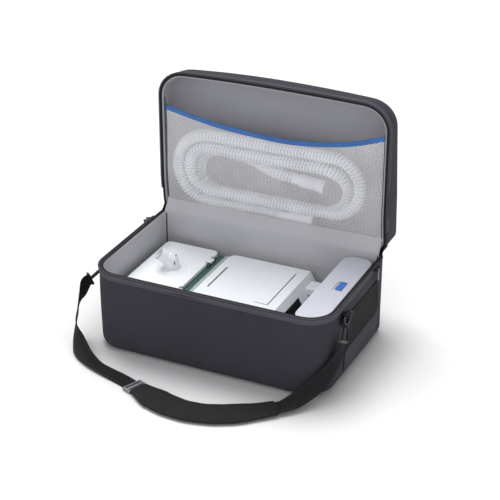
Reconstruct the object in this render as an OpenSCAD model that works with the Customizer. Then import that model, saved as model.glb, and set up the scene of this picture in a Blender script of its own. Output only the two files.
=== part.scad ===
// Bilevel breathing machine with its humidifier, packed in its open carry case.
// Origin: centre of the case's underside. +X runs along the case, +Y to the hinge, +Z up.
// The lid stands open, the hose lies in the lid's net pocket and the strap lies in front.

/* [Case] */
// Radius of the upright corners at the front
corner_r = 46; // [42:1:50]
// Radius of the upright corners at the hinge
back_r = 16; // [16:1:20]
// Radius of the bottom edge and of the lid's outer edge at the hinge
edge_r = 12; // [8:1:15]
// Radius of the bottom edge at the front
front_edge_r = 16; // [14:1:20]
// Radius of the lid's outer edge at its free side
lid_edge_r = 32; // [26:1:36]
// Thickness of the outer shell of foam and fabric
shell_t = 4; // [3:0.5:6]
// Thickness of the lining
lining_t = 3; // [2:0.5:4]
// Thickness of the loose pad on the floor
pad_t = 3; // [2:0.5:5]
// Thickness of the bound edge on the rims
binding_t = 2; // [1.5:0.5:3]
// Height of the zip tape on each half
tape_h = 11; // [9:0.5:14]

/* [Strap] */
// Width of the webbing
web_w = 28; // [24:1:32]
// Thickness of the webbing
web_t = 2; // [1.5:0.25:2.5]
// Width of the shoulder pad
pad_w = 54; // [48:1:60]
// Thickness of the shoulder pad at its middle
shoulder_t = 9; // [7:0.5:11]
// Distance of the strap's rings behind the case's front
ring_back = 70.5; // [66:0.5:76]
// Distance of the bar of each strap ring below the case's rim
ring_down = 19; // [17:1:24]
// How far the bar of each ring stands off the case
ring_off = 9; // [8.5:0.5:10.5]
// Inner width of the strap rings
ring_w = 26; // [24:1:28]
// Radius of the ring wire
wire_r = 2; // [1.75:0.05:2.1]
// Length of the snap hooks, from the ring to the end of the crossbar
hook_l = 30; // [28:1:34]

/* [Main unit] */
// Length of the main unit
unit_l = 174; // [170:1:180]
// Depth of the machine from front to back
unit_w = 193; // [188:1:200]
// Height of the machine on its feet
unit_h = 85; // [83:1:92]
// Radius of the main unit's upright corners
unit_r = 14; // [8:1:18]
// Wall of the plastic casings
wall = 2.6; // [2.2:0.1:3]
// Height of the rubber feet
foot_h = 3; // [2:0.5:4]
// Height of the bottom casing's edge above the feet
split_h = 25; // [23:1:27]
// How far the right side leans in
slope_run = 22; // [18:1:26]
// Height over which the right side leans in
slope_drop = 40; // [36:1:44]
// Radius of the blower's impeller
impeller_r = 31; // [26:1:33]
// Radius of the control dial
dial_r = 12; // [9:0.5:13]
// Radius of the front buttons
button_r = 6; // [4:0.5:7]
// Length of the air inlet grille
grille_l = 58; // [50:1:64]
// Width of the air inlet grille
grille_w = 17; // [15:1:20]

/* [Humidifier] */
// Length of the humidifier bay
hum_l = 126; // [122:1:130]
// Height of the humidifier's base tray above the feet
tray_h = 28; // [24:1:32]
// Length of the white lid on the water tank
cover_l = 102; // [98:1:104]
// Thickness of the tank lid
cover_t = 6.5; // [5.5:0.5:8]
// Wall of the water tank
tank_wall = 2.4; // [2:0.1:3]
// Outer radius of the outlet, a standard breathing connector
outlet_r = 11; // [10.5:0.1:11.5]

/* [Hose] */
// Outer diameter of the hose over its ribs
hose_od = 22; // [20:0.5:22.5]
// Inner diameter of the hose
hose_id = 15; // [12:0.5:16]
// Depth of the ribs
rib_depth = 1.5; // [1:0.1:2]
// Gap between neighbouring strands of the hose
strand_gap = 1; // [0.8:0.1:1.2]
// Length of the hose cuffs
cuff_l = 48; // [44:1:50]

/* [Accessory box] */
// Width of the box
box_w = 52; // [46:1:54]
// Height of the box with its lid
box_h = 125; // [110:1:127]
// Height of the box lid
box_lid_h = 13; // [11:1:18]
// Wall of the box
box_wall = 2; // [1.6:0.1:2.4]

/* [Room in the case] */
// Gap between the machine and the case on its left
left_gap = 13.5; // [10:0.5:16]
// Gap between the machine and the accessory box
middle_gap = 39; // [36:0.5:44]
// Gap between the accessory box and the case on its right
right_gap = 6.5; // [5:0.5:9]
// Gap between the machine and the case behind it
back_gap = 17.5; // [15:0.5:20]
// Gap between the machine and the case in front of it
front_gap = 40.5; // [37:0.5:46]
// Gap between each end of the accessory box and the case
box_end_gap = 8.5; // [7:0.5:12]
// Room above the accessory box, up to the case's rim
top_gap = 11.7; // [10.7:0.5:16.7]
// Room between the net pocket and the lid's rim
net_gap = 4.8; // [4.3:0.5:8.3]
// Space between the coiled hose and the net's left edge
coil_left = 5.5; // [5:0.5:8]
// Space between the coiled hose and the net's right edge
coil_right = 37; // [30:1:44]

/* [Clearances] */
// Gap between pieces that lift out or turn and what they rest on
seat_gap = 0.3; // [0.25:0.05:0.5]
// Radial gap between a pin and its hole
pin_gap = 0.05; // [0.03:0.01:0.09]

/* [Hidden] */
$fn = 48;
sides = 32;
edge_step = 30;

// The case is cut to what it holds: half sizes inside, then the outer sizes
side_t = shell_t + lining_t;
in_x = (left_gap + hum_l + unit_l + middle_gap + box_w + right_gap) / 2;
in_y = (front_gap + unit_w + back_gap) / 2;
floor_z = side_t + pad_t;
net_w = 2 * (hose_od + strand_gap) + 2;
net_t = 1.2;
case_l = 2 * (in_x + side_t);
case_w = 2 * (in_y + side_t);
case_h = floor_z + seat_gap + box_h + top_gap;
lid_h = side_t + net_w + net_t + net_gap;
inner_r = corner_r - side_t;
inner_back_r = back_r - side_t;
hinge_y = case_w / 2;
hinge_z = case_h + seat_gap;
panel_z = case_h + lid_h - side_t;
lid_rim_z = case_h + 2 * seat_gap;

// Colours of the photographed finishes
charcoal = [0.20, 0.20, 0.22];
black = [0.07, 0.07, 0.08];
lining_grey = [0.68, 0.69, 0.71];
white = [0.94, 0.95, 0.97];
blue = [0.20, 0.42, 0.70];
teal = [0.20, 0.36, 0.34, 0.6];
steel = [0.72, 0.72, 0.74];

// Rounded rectangle centred on the origin
module rounded(l, w, r) {
    square([l - 2 * r, w], center = true);
    square([l, w - 2 * r], center = true);
    for (sx = [-1, 1], sy = [-1, 1])
        translate([sx * (l / 2 - r), sy * (w / 2 - r)]) circle(r = r);
}

// Rounded rectangle with one corner on the origin
module corner_rounded(l, w, r) {
    translate([l / 2, w / 2]) rounded(l, w, r);
}

// Upright slab centred on the origin: corners r at the front and rb at the back
module slab(l, w, h, r, rb) {
    linear_extrude(height = h) {
        translate([-l / 2, r - w / 2]) square([l, w - r - rb]);
        translate([r - l / 2, -w / 2]) square([l - 2 * r, w / 2]);
        translate([rb - l / 2, 0]) square([l - 2 * rb, w / 2]);
        for (side = [-1, 1]) {
            translate([side * (l / 2 - r), r - w / 2]) circle(r = r);
            translate([side * (l / 2 - rb), w / 2 - rb]) circle(r = rb);
        }
    }
}

// The same slab with its lower edge rounded too, by e at the front and eb at the back,
// as padded fabric turns
module soft_slab(l, w, h, r, rb, e, eb) {
    hull()
        for (side = [-1, 1], a = [0 : edge_step : 90]) {
            translate([side * (l / 2 - r), r - w / 2, e * (1 - cos(a))])
                cylinder(r = r - e + e * sin(a), h = h - e * (1 - cos(a)), $fn = sides);
            translate([side * (l / 2 - rb), w / 2 - rb, eb * (1 - cos(a))])
                cylinder(r = rb - eb + eb * sin(a), h = h - eb * (1 - cos(a)), $fn = sides);
        }
}

// Turns pieces modelled on the closed lid to where the lid stands open
module open_lid() {
    translate([0, hinge_y, hinge_z]) rotate([-90, 0, 0]) translate([0, -hinge_y, -hinge_z])
        children();
}

// Case

module case_shell() {
    color(charcoal)
        difference() {
            soft_slab(case_l, case_w, case_h - binding_t, corner_r, back_r, front_edge_r,
                edge_r);
            translate([0, 0, shell_t])
                slab(case_l - 2 * shell_t, case_w - 2 * shell_t, case_h,
                    corner_r - shell_t, back_r - shell_t);
        }
}

module case_lining() {
    color(lining_grey)
        difference() {
            translate([0, 0, shell_t])
                slab(case_l - 2 * shell_t, case_w - 2 * shell_t, case_h - binding_t - shell_t,
                    corner_r - shell_t, back_r - shell_t);
            translate([0, 0, side_t]) slab(2 * in_x, 2 * in_y, case_h, inner_r, inner_back_r);
        }
}

module floor_pad() {
    pad_gap = 1;
    color([0.55, 0.56, 0.58])
        translate([0, 0, floor_z - pad_t])
            slab(2 * (in_x - pad_gap), 2 * (in_y - pad_gap), pad_t, inner_r - pad_gap,
                inner_back_r - pad_gap);
}

module rim_ring(z0, h) {
    translate([0, 0, z0])
        difference() {
            slab(case_l, case_w, h, corner_r, back_r);
            translate([0, 0, -1]) slab(2 * in_x, 2 * in_y, h + 2, inner_r, inner_back_r);
        }
}

module case_binding() {
    color(black) rim_ring(case_h - binding_t, binding_t);
}

// Zip tape along the front and both sides, with its row of teeth at the edge given
tape_t = 1.2;
teeth_t = 1;
teeth_h = 3;
tape_stop = 38;
tape_back = case_w / 2 - tape_stop;
module zip_band(z0, h, t) {
    translate([0, 0, z0])
        difference() {
            slab(case_l + 2 * t, case_w + 2 * t, h, corner_r + t, back_r + t);
            translate([0, 0, -1]) slab(case_l, case_w, h + 2, corner_r, back_r);
            translate([-case_l, tape_back, -1]) cube([2 * case_l, case_w, h + 2]);
        }
}

module base_zip_tape() {
    color(black) {
        zip_band(case_h - tape_h, tape_h, tape_t);
        zip_band(case_h - teeth_h, teeth_h, tape_t + teeth_t);
    }
}

// Flat pocket sewn on the right side
pocket_t = 3;
pocket_h = 42;
pocket_front = 82;
pocket_back = 39;
pocket_l = case_w - pocket_front - pocket_back;
pocket_y = (pocket_front - pocket_back) / 2;
module side_pocket() {
    color(charcoal)
        translate([case_l / 2, pocket_y, edge_r + 1 + pocket_h / 2])
            rotate([90, 0, 90])
                linear_extrude(height = pocket_t) rounded(pocket_l, pocket_h, 8);
}

// Fabric strip sewn over the back wall, which carries the lid's fold
module hinge_strip() {
    strip_h = 26;
    strip_in = 4;
    color(charcoal)
        translate([0, hinge_y + tape_t / 2, case_h - strip_h / 2 - 0.4])
            cube([case_l - 2 * (back_r + strip_in), tape_t, strip_h], center = true);
}

// Strap hardware

tab_w = 18;
tab_h = 15;
ring_x = case_l / 2 + ring_off;
ring_y = case_w / 2 - ring_back;
ring_z = case_h - ring_down;
ring_drop = ring_w / 2 + wire_r;

// Sewn loop that holds the bar of a ring
module strap_tab(side) {
    translate([side * case_l / 2, -ring_y - tab_w / 2, ring_z])
        difference() {
            union() {
                translate([side > 0 ? 0 : -web_t, 0, -tab_h]) cube([web_t, tab_w, tab_h]);
                translate([side > 0 ? 0 : -ring_off, 0, -wire_r - web_t])
                    cube([ring_off, tab_w, 2 * (wire_r + web_t)]);
                translate([side * ring_off, 0, 0]) rotate([-90, 0, 0])
                    cylinder(r = wire_r + web_t, h = tab_w);
            }
            translate([side * ring_off, -1, 0]) rotate([-90, 0, 0])
                cylinder(r = wire_r + pin_gap, h = tab_w + 2);
        }
}

module strap_tabs() {
    color(black) for (side = [-1, 1]) strap_tab(side);
}

module d_ring(side) {
    translate([side * ring_x, -ring_y, ring_z]) {
        translate([0, -ring_drop, 0]) rotate([-90, 0, 0])
            cylinder(r = wire_r, h = 2 * ring_drop);
        rotate([0, 90, 0]) rotate([0, 0, -90])
            rotate_extrude(angle = 180) translate([ring_drop, 0]) circle(r = wire_r);
    }
}

module d_rings() {
    color(steel) for (side = [-1, 1]) d_ring(side);
}

// Snap hook: an eye on the ring's wire, a shank and a crossbar for the webbing.
// It is turned along the ring towards the front, and leans away from the case.
hook_wire = 1.6;
eye_r = hook_wire + wire_r + 2 * seat_gap + 0.6;
eye_drop = eye_r - hook_wire - wire_r - seat_gap;
bar_w = web_w + 4;
bar_h = 4;
left_turn = 60;
left_lean = 25;
right_turn = 30;
right_lean = 4;
module snap_hook(side, turn, lean) {
    translate([side * ring_x, -ring_y, ring_z]) rotate([-turn, 0, 0])
        translate([0, 0, -ring_drop]) rotate([0, -side * lean, 0]) {
            translate([0, 0, -eye_drop]) rotate([90, 0, 0])
                rotate_extrude() translate([eye_r, 0]) circle(r = hook_wire);
            translate([0, 0, -hook_l + bar_h / 2])
                cylinder(r = 3, h = hook_l - bar_h / 2 - eye_drop - eye_r);
            translate([-2.2, -bar_w / 2, -hook_l]) cube([4.4, bar_w, bar_h]);
        }
}

module snap_hooks() {
    color(black) {
        snap_hook(-1, left_turn, left_lean);
        snap_hook(1, right_turn, right_lean);
    }
}

// Smooth route through the points given, with a number of steps between each two
route_steps = 3;
function curve(p, i, f) =
    let (a = p[max(i - 1, 0)], b = p[i], c = p[i + 1], d = p[min(i + 2, len(p) - 1)])
    b + (c - a) * f / 2 + (2 * a - 5 * b + 4 * c - d) * f * f / 2
        + (3 * b - 3 * c + d - a) * f * f * f / 2;
function smooth_route(p) = concat(
    [for (i = [0 : len(p) - 2], k = [0 : route_steps - 1]) curve(p, i, k / route_steps)],
    [p[len(p) - 1]]);

// Skin over outlines set square to a route: each outline is a list of [across, up] pairs
function unit(v) = v / norm(v);
function tangent(p, i) = unit(p[min(i + 1, len(p) - 1)] - p[max(i - 1, 0)]);
function face(p, n, i) = unit(n[i] - (n[i] * tangent(p, i)) * tangent(p, i));
module skin(p, n, outlines) {
    m = len(outlines[0]);
    last = len(p) - 1;
    points = [for (i = [0 : last])
        let (f = face(p, n, i), s = cross(tangent(p, i), f))
            each [for (q = outlines[i]) p[i] + s * q[0] + f * q[1]]];
    walls = [for (i = [0 : last - 1], k = [0 : m - 1])
        let (a = m * i + k, b = m * i + (k + 1) % m) each [[a, b, a + m], [b, b + m, a + m]]];
    ends = [for (k = [1 : m - 2]) each [[0, k + 1, k], [m * last, m * last + k, m * last + k + 1]]];
    polyhedron(points = points, faces = concat(walls, ends), convexity = 6);
}

function strip(w, t) = [[-w / 2, -t / 2], [w / 2, -t / 2], [w / 2, t / 2], [-w / 2, t / 2]];
module webbing(route, faces) {
    p = smooth_route(route);
    skin(p, smooth_route(faces), [for (q = p) strip(web_w, web_t)]);
}

// Where each hook's crossbar ends, which is where its webbing starts
function from_ring(side, turn, v) = [side * ring_x + v[0],
    -ring_y + v[1] * cos(turn) + v[2] * sin(turn),
    ring_z - v[1] * sin(turn) + v[2] * cos(turn)];
function past_bar(side, turn, lean, d) = from_ring(side, turn,
    [side * (hook_l + d) * sin(lean), 0, -ring_drop - (hook_l + d) * cos(lean)]);

// The webbing's points are counted from the case's two front corners
left_corner = [-case_l / 2, -case_w / 2, 0];
right_corner = [case_l / 2, -case_w / 2, 0];
web_z = web_t / 2 + 0.5;
adjuster_l = 18;
adjuster_h = 5;
adjuster_turn = -23;
adjuster_at = left_corner + [129, -88, 0];
adjuster_way = [cos(adjuster_turn), sin(adjuster_turn), 0];
left_route = concat([for (d = [seat_gap, 4, 8]) past_bar(-1, left_turn, left_lean, d)],
    [for (q = [[-27, 18, 84], [-32, 12, 66], [-34.5, 8, 45], [-33, 2, 27], [-23, -11, 14],
        [1, -36, 7], [32, -54, web_z + 1.5], [60, -64.5, web_z + 1], [88, -73, web_z + 0.5]])
        left_corner + q],
    [for (d = [12, 6, seat_gap])
        adjuster_at - adjuster_way * (adjuster_l / 2 + d) + [0, 0, web_z]]);
left_faces = [[-0.91, 0.37, 0.21], [-0.91, 0.37, 0.21], [-0.91, 0.37, 0.21], [-0.93, 0, 0.2],
    [-0.9, -0.42, 0], [-0.9, -0.42, 0],
    [-0.85, -0.55, 0.3], [-0.6, -0.55, 0.6], [-0.2, -0.2, 1], [0, 0.1, 1], [0, 0.1, 1],
    [0, 0, 1], [0, 0, 1], [0, 0, 1], [0, 0, 1]];

// Shoulder pad: a crowned cushion between flat sewn edges, bowed towards the front
pad_bow = 43;
pad_edge_t = 2.4;
pad_stations = 24;
pad_start = adjuster_at + adjuster_way * (adjuster_l / 2 + seat_gap);
pad_stop = right_corner + [-58.5, -55.5, 8.8];
pad_low = 0.5;
function pad_width(f) = web_w + 6 + (pad_w - web_w - 6) * min(1, 6 * f, 4 * (1 - f));
function pad_at(f) = [pad_start[0] + (pad_stop[0] - pad_start[0]) * f,
    pad_start[1] + (pad_stop[1] - pad_start[1]) * f - pad_bow * sin(180 * f),
    pad_low + shoulder_t / 2 + (pad_stop[2] - pad_low - shoulder_t / 2) * pow(f, 8)];
pad_way = unit(pad_at(1) - pad_at(1 - 1 / pad_stations));
pad_up = [0.04, -0.08, 1];
right_route = concat([for (d = [seat_gap, 5, 10]) pad_stop + pad_way * d],
    [for (q = [[-36.5, -35.5, 15], [-19.5, -14.5, 27], [-4, 8.5, 43], [4, 26, 58], [8, 37, 70]])
        right_corner + q],
    [for (d = [8, 4, seat_gap]) past_bar(1, right_turn, right_lean, d)]);
right_faces = [pad_up, pad_up, pad_up, [0.2, -0.4, 1], [0.5, -0.7, 0.8], [0.8, -0.7, 0.4],
    [1, -0.4, 0.2],
    [1, -0.15, 0.1], [1, 0, 0.1], [1, 0, 0.1], [1, 0, 0.1]];

module strap_web_left() {
    color(black) webbing(left_route, left_faces);
}

module strap_web_right() {
    color(black) webbing(right_route, right_faces);
}

module strap_adjuster() {
    slot_w = 3.5;
    color([0.75, 0.76, 0.78])
        translate([adjuster_at[0], adjuster_at[1], 0.3]) rotate([0, 0, adjuster_turn])
            difference() {
                translate([-adjuster_l / 2, -web_w / 2 - 4, 0])
                    cube([adjuster_l, web_w + 8, adjuster_h]);
                for (s = [-1, 1])
                    translate([s * 4.5 - slot_w / 2, -web_w / 2 - 0.5, -1])
                        cube([slot_w, web_w + 1, adjuster_h + 2]);
            }
}

function pad_outline(w) =
    let (h = w / 2, e = pad_edge_t / 2, c = shoulder_t / 2)
    [[-h, -e], [-h + 4, -e - 0.4], [-h + 10, -c + 0.6], [0, -c], [h - 10, -c + 0.6],
        [h - 4, -e - 0.4], [h, -e], [h, e], [h - 4, e + 0.4], [h - 10, c - 0.6], [0, c],
        [-h + 10, c - 0.6], [-h + 4, e + 0.4], [-h, e]];
module shoulder_pad() {
    p = [for (k = [0 : pad_stations]) pad_at(k / pad_stations)];
    n = [for (k = [0 : pad_stations])
        let (f = pow(k / pad_stations, 6)) [0, 0, 1] * (1 - f) + pad_up * f];
    color(black)
        skin(p, n, [for (k = [0 : pad_stations]) pad_outline(pad_width(k / pad_stations))]);
}

// Zip sliders: body on the teeth, and a pull that hangs from it
slider_l = 16;
slider_x = case_l / 2 + tape_t + teeth_t + seat_gap;
slider_y = tape_back - slider_l;
slider_t = 3;
bail_r = 0.8;
pull_l = 22;
module zip_slider(side) {
    color(steel)
        translate([side * slider_x, slider_y, case_h - teeth_h / 2 - 3.5]) {
            translate([side > 0 ? 0 : -slider_t, -slider_l / 2, 0])
                cube([slider_t, slider_l, 5]);
            for (s = [-1, 1])
                translate([side > 0 ? slider_t : -slider_t - 4, s * 5 - 1, 0])
                    difference() {
                        cube([4, 2, 5]);
                        translate([2, -1, 2.5]) rotate([-90, 0, 0])
                            cylinder(r = bail_r + pin_gap, h = 4);
                    }
        }
}

module zip_slider_left() {
    zip_slider(-1);
}

module zip_slider_right() {
    zip_slider(1);
}

module zip_pull(side) {
    bar_x = slider_x + slider_t + 2;
    bar_z = case_h - teeth_h / 2 - 1;
    color(steel)
        translate([side * bar_x, slider_y, bar_z]) {
            translate([0, -6, 0]) rotate([-90, 0, 0]) cylinder(r = bail_r, h = 12);
            translate([-0.75, -3.6, -pull_l]) cube([1.5, 7.2, pull_l]);
        }
}

module zip_pull_left() {
    zip_pull(-1);
}

module zip_pull_right() {
    zip_pull(1);
}

// Lid, modelled closed and turned open

// What the lid leaves free at a distance t from its outside, from its panel down
module lid_space(t, h) {
    soft_slab(case_l - 2 * t, case_w - 2 * t, h, corner_r - t, back_r - t, lid_edge_r - t,
        edge_r - t);
}

module lid_shell() {
    color(charcoal)
        open_lid()
            difference() {
                translate([0, 0, case_h + lid_h]) mirror([0, 0, 1])
                    soft_slab(case_l, case_w, case_h + lid_h - lid_rim_z - binding_t,
                        corner_r, back_r, lid_edge_r, edge_r);
                translate([0, 0, case_h + lid_h - shell_t]) mirror([0, 0, 1])
                    lid_space(shell_t, lid_h - shell_t + 1);
            }
}

module lid_lining() {
    z0 = lid_rim_z + binding_t;
    color(lining_grey)
        open_lid()
            difference() {
                translate([0, 0, case_h + lid_h - shell_t]) mirror([0, 0, 1])
                    lid_space(shell_t, case_h + lid_h - shell_t - z0);
                translate([0, 0, panel_z]) mirror([0, 0, 1])
                    lid_space(side_t, panel_z - z0 + 1);
            }
}

module lid_binding() {
    color(black) open_lid() rim_ring(lid_rim_z, binding_t);
}

module lid_zip_tape() {
    color(black)
        open_lid() {
            zip_band(lid_rim_z, tape_h, tape_t);
            zip_band(lid_rim_z, teeth_h, tape_t + teeth_t);
        }
}

// Places a point of the lid's panel: u along the case, v up from the hinge, w off the panel
function on_panel(q) = [q[0], hinge_y - q[1], panel_z - q[2]];

// Net pocket: a flat mesh of diamond gaps over the hose, below a sagging elastic edge
trim_h = 8;
net_low = case_w / 2 - in_y;
net_side = in_x;
edge_low = 173;
edge_low_u = 20;
left_rise = 25;
right_rise = 38;
function edge_v(u) = edge_low
    + left_rise * pow(min(0, u - edge_low_u) / (in_x + edge_low_u), 2)
    + right_rise * pow(max(0, u - edge_low_u) / (in_x - edge_low_u), 2);
gap_u = 9.6;
gap_v = 5.4;
gap_count = 7;
gap_rows = 10;
gap_margin = 14.65;
gap_pitch_u = (net_side - gap_margin - gap_u) / (gap_count + 0.25);
gap_pitch_v = 14.5;
gap_low = 15;
module net_pocket() {
    corner = [for (a = [0 : 15 : 90]) (inner_back_r + 0.5) * [1 - cos(a), 1 - sin(a)]];
    outline = concat([for (c = corner) [-net_side + c[0], net_low + c[1]]],
        [for (k = [len(corner) - 1 : -1 : 0]) [net_side - corner[k][0], net_low + corner[k][1]]],
        [for (k = [8 : -1 : -8]) [k * net_side / 8, edge_v(k * net_side / 8) - trim_h]]);
    centres = [for (row = [0 : gap_rows - 1], k = [-gap_count : gap_count])
        [(k + (row % 2) / 2 - 0.25) * gap_pitch_u, net_low + gap_low + row * gap_pitch_v]];
    diamonds = [for (c = centres)
        each [c + [gap_u, 0], c + [0, gap_v], c - [gap_u, 0], c - [0, gap_v]]];
    rings = [for (j = [0 : len(centres) - 1])
        [for (k = [0 : 3]) len(outline) + 4 * j + k]];
    color([0.85, 0.85, 0.87])
        open_lid()
            translate([0, hinge_y, panel_z - net_w - net_t])
                mirror([0, 1, 0])
                    linear_extrude(height = net_t)
                        polygon(points = concat(outline, diamonds),
                            paths = concat([[for (k = [0 : len(outline) - 1]) k]], rings));
}

module pocket_trim() {
    top = [for (k = [-8 : 8]) [k * net_side / 8, edge_v(k * net_side / 8)]];
    low = [for (k = [8 : -1 : -8]) [k * net_side / 8, edge_v(k * net_side / 8) - trim_h]];
    color(blue)
        open_lid()
            translate([0, hinge_y, panel_z - net_w - net_t - 0.6])
                mirror([0, 1, 0])
                    linear_extrude(height = net_t + 1.2) polygon(concat(top, low));
}

// Hose: runs and half turns in two layers, from the mask cuff to the machine cuff.
// Each step is [length, turn, depth at its end], and starts where the one before ended.
layer = hose_od + strand_gap;
deep = layer / 2;
near = deep + layer;
cuff_r = hose_od / 2 + 1.6;
v_low = net_low + cuff_r + 0.4;
v_low2 = v_low + layer;
v_top = 147;
v_top2 = v_top - layer;
v_back = (v_low + v_low2) / 2 + 0.5;
tail_tilt = 6;
tail_v = v_top2 - layer / 2 - 0.5;
r_tail = (tail_v - v_back) / (1 + cos(tail_tilt));
r_cross = (v_top2 - v_back) / 2;
r_inner = (v_top2 - v_low2) / 2;
r_right = (v_top - v_low2) / 2;
r_left = (v_top - v_low) / 2;
turn_left_u = coil_left + hose_od / 2 + r_left - net_side;
turn_right_u = net_side - coil_right - hose_od / 2 - r_right;
back_turn_u = turn_left_u + 12;
cross_u = turn_right_u - 25;
tail_run = 160;
end_run = 150;
hose_start = [back_turn_u + tail_run * cos(tail_tilt), tail_v - tail_run * sin(tail_tilt)];
steps = [[0.2 * tail_run, 0, near], [0.5 * tail_run, 0, deep], [0.3 * tail_run, 0, deep],
    [r_tail, 180 + tail_tilt, deep],
    [cross_u - back_turn_u + r_tail * sin(tail_tilt), 0, deep],
    [r_cross, 90, deep], [r_cross, 90, near],
    [cross_u - turn_left_u, 0, near], [r_inner, 180, near],
    [turn_right_u - turn_left_u, 0, near], [r_right, 180, near],
    [turn_right_u - turn_left_u, 0, near], [r_left, 180, near], [end_run, 0, near]];
function step_length(s) = s[1] == 0 ? s[0] : s[0] * s[1] * PI / 180;
function lengths(i) = i == 0 ? 0 : lengths(i - 1) + step_length(steps[i - 1]);
starts = [for (i = [0 : len(steps)]) lengths(i)];
hose_length = starts[len(steps)];
// Place and heading after a part f of a step
function along(p, h, s, f) = s[1] == 0
    ? p + s[0] * f * [cos(h), sin(h)]
    : p + s[0] * [sin(h + s[1] * f) - sin(h), cos(h) - cos(h + s[1] * f)];
function knot(i) = i == 0 ? [hose_start, 180 - tail_tilt]
    : let (k = knot(i - 1)) [along(k[0], k[1], steps[i - 1], 1), k[1] + steps[i - 1][1]];
knots = [for (i = [0 : len(steps)]) knot(i)];
depths = concat([near], [for (s = steps) s[2]]);
function smooth(f) = f * f * (3 - 2 * f);
function hose_at(d) =
    let (i = max([for (k = [0 : len(steps) - 1]) starts[k] <= d ? k : 0]),
        f = min(1, (d - starts[i]) / step_length(steps[i])),
        p = along(knots[i][0], knots[i][1], steps[i], f))
    on_panel([p[0], p[1], depths[i] + (depths[i + 1] - depths[i]) * smooth(f)]);

// One ring of a tube around the route at distance d
ring_sides = 8;
function tube_ring(d, r) =
    let (t = unit(hose_at(min(d + 1, hose_length)) - hose_at(max(d - 1, 0))),
        b = unit(cross(t, [0, 0, 1])), n = cross(b, t))
    [for (k = [0 : ring_sides - 1])
        let (a = (k + 0.5) * 360 / ring_sides)
            hose_at(d) + r / cos(180 / ring_sides) * (cos(a) * b + sin(a) * n)];
rib_count = 150;
bore_rings = 60;
plain_end = hose_od / 2;
module hose() {
    ridge = hose_od / 2 * cos(180 / ring_sides);
    valley = ridge - rib_depth;
    pitch = (hose_length - 2 * plain_end) / rib_count;
    outer = concat([[0, valley]],
        [for (i = [0 : rib_count - 1])
            each [[plain_end + i * pitch, valley], [plain_end + (i + 0.5) * pitch, ridge]]],
        [[hose_length, valley]]);
    n_out = len(outer);
    points = concat([for (o = outer) each tube_ring(o[0], o[1])],
        [for (i = [0 : bore_rings]) each tube_ring(i * hose_length / bore_rings, hose_id / 2)]);
    base = n_out * ring_sides;
    skin = [for (i = [0 : n_out - 2], k = [0 : ring_sides - 1])
        let (a = i * ring_sides + k, b = i * ring_sides + (k + 1) % ring_sides)
            each [[a, a + ring_sides, b], [b, a + ring_sides, b + ring_sides]]];
    bore = [for (i = [0 : bore_rings - 1], k = [0 : ring_sides - 1])
        let (a = base + i * ring_sides + k, b = base + i * ring_sides + (k + 1) % ring_sides)
            each [[a, b, a + ring_sides], [b, b + ring_sides, a + ring_sides]]];
    far = (n_out - 1) * ring_sides;
    far_bore = base + bore_rings * ring_sides;
    mouths = [for (k = [0 : ring_sides - 1])
        let (m = (k + 1) % ring_sides)
            each [[k, m, base + k], [m, base + m, base + k],
                [far + k, far_bore + k, far + m], [far + m, far_bore + k, far_bore + m]]];
    color(white) open_lid()
        polyhedron(points = points, faces = concat(skin, bore, mouths), convexity = 12);
}

// Least gap between strands that lie more than two diameters apart along the hose
gap_step = 6;
samples = [for (d = [0 : gap_step : hose_length]) hose_at(d)];
skip = ceil(2.2 * hose_od / gap_step);
least_gap = min([for (i = [0 : len(samples) - 1 - skip], j = [i + skip : len(samples) - 1])
    norm(samples[i] - samples[j])]) - hose_od;
echo(hose_length = hose_length, least_gap = least_gap);

// Soft cuff that slips over a standard connector
module cuff(at, heading) {
    open_lid()
        translate(on_panel(at)) rotate([0, 0, -heading]) rotate([0, 90, 0])
            difference() {
                union() {
                    cylinder(r = cuff_r - 1, h = cuff_l);
                    translate([0, 0, cuff_l - 8]) cylinder(r = cuff_r, h = 8);
                }
                translate([0, 0, -1]) cylinder(r = hose_id / 2, h = cuff_l + 2);
                translate([0, 0, cuff_l / 2])
                    cylinder(r = outlet_r - 0.2, h = cuff_l);
            }
}

module hose_cuff_mask() {
    color(white) cuff([hose_start[0], hose_start[1], near], -tail_tilt);
}

module hose_cuff_machine() {
    end = knots[len(steps)];
    color(white) cuff([end[0][0], end[0][1], near], end[1]);
}

// Machine: its own corner is the left end of the humidifier, at the front, under the feet
unit_x0 = -in_x + left_gap;
unit_y0 = in_y - back_gap - unit_w;
unit_z0 = floor_z + seat_gap;
main_x = hum_l + seat_gap;
main_l = unit_l - seat_gap;
joint_z = foot_h + split_h;
lean = atan(slope_run / slope_drop);
module in_case() {
    translate([unit_x0, unit_y0, unit_z0]) children();
}

// Outline of the main unit seen from the front, drawn in by t on every side
module front_profile(t) {
    x1 = main_x + main_l;
    z1 = unit_h;
    side_x = x1 - t;
    knee_z = z1 - slope_drop - t * tan(lean / 2);
    polygon([[main_x + t, foot_h + t], [side_x, foot_h + t], [side_x, knee_z],
        [side_x - (z1 - t - knee_z) * tan(lean), z1 - t], [main_x + t, z1 - t]]);
}

module main_body(t) {
    intersection() {
        translate([main_x + t, t, 0])
            linear_extrude(height = unit_h)
                corner_rounded(main_l - 2 * t, unit_w - 2 * t, unit_r - t);
        translate([0, unit_w, 0]) rotate([90, 0, 0])
            linear_extrude(height = unit_w) front_profile(t);
    }
}

boss_r = 4;
screw_r = 1.5;
boss_in = 11;
boss_spots = [for (x = [main_x + boss_in, main_x + main_l - boss_in], y = [boss_in, unit_w - boss_in])
    [x, y]];
screw_top = joint_z + 12;

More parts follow.
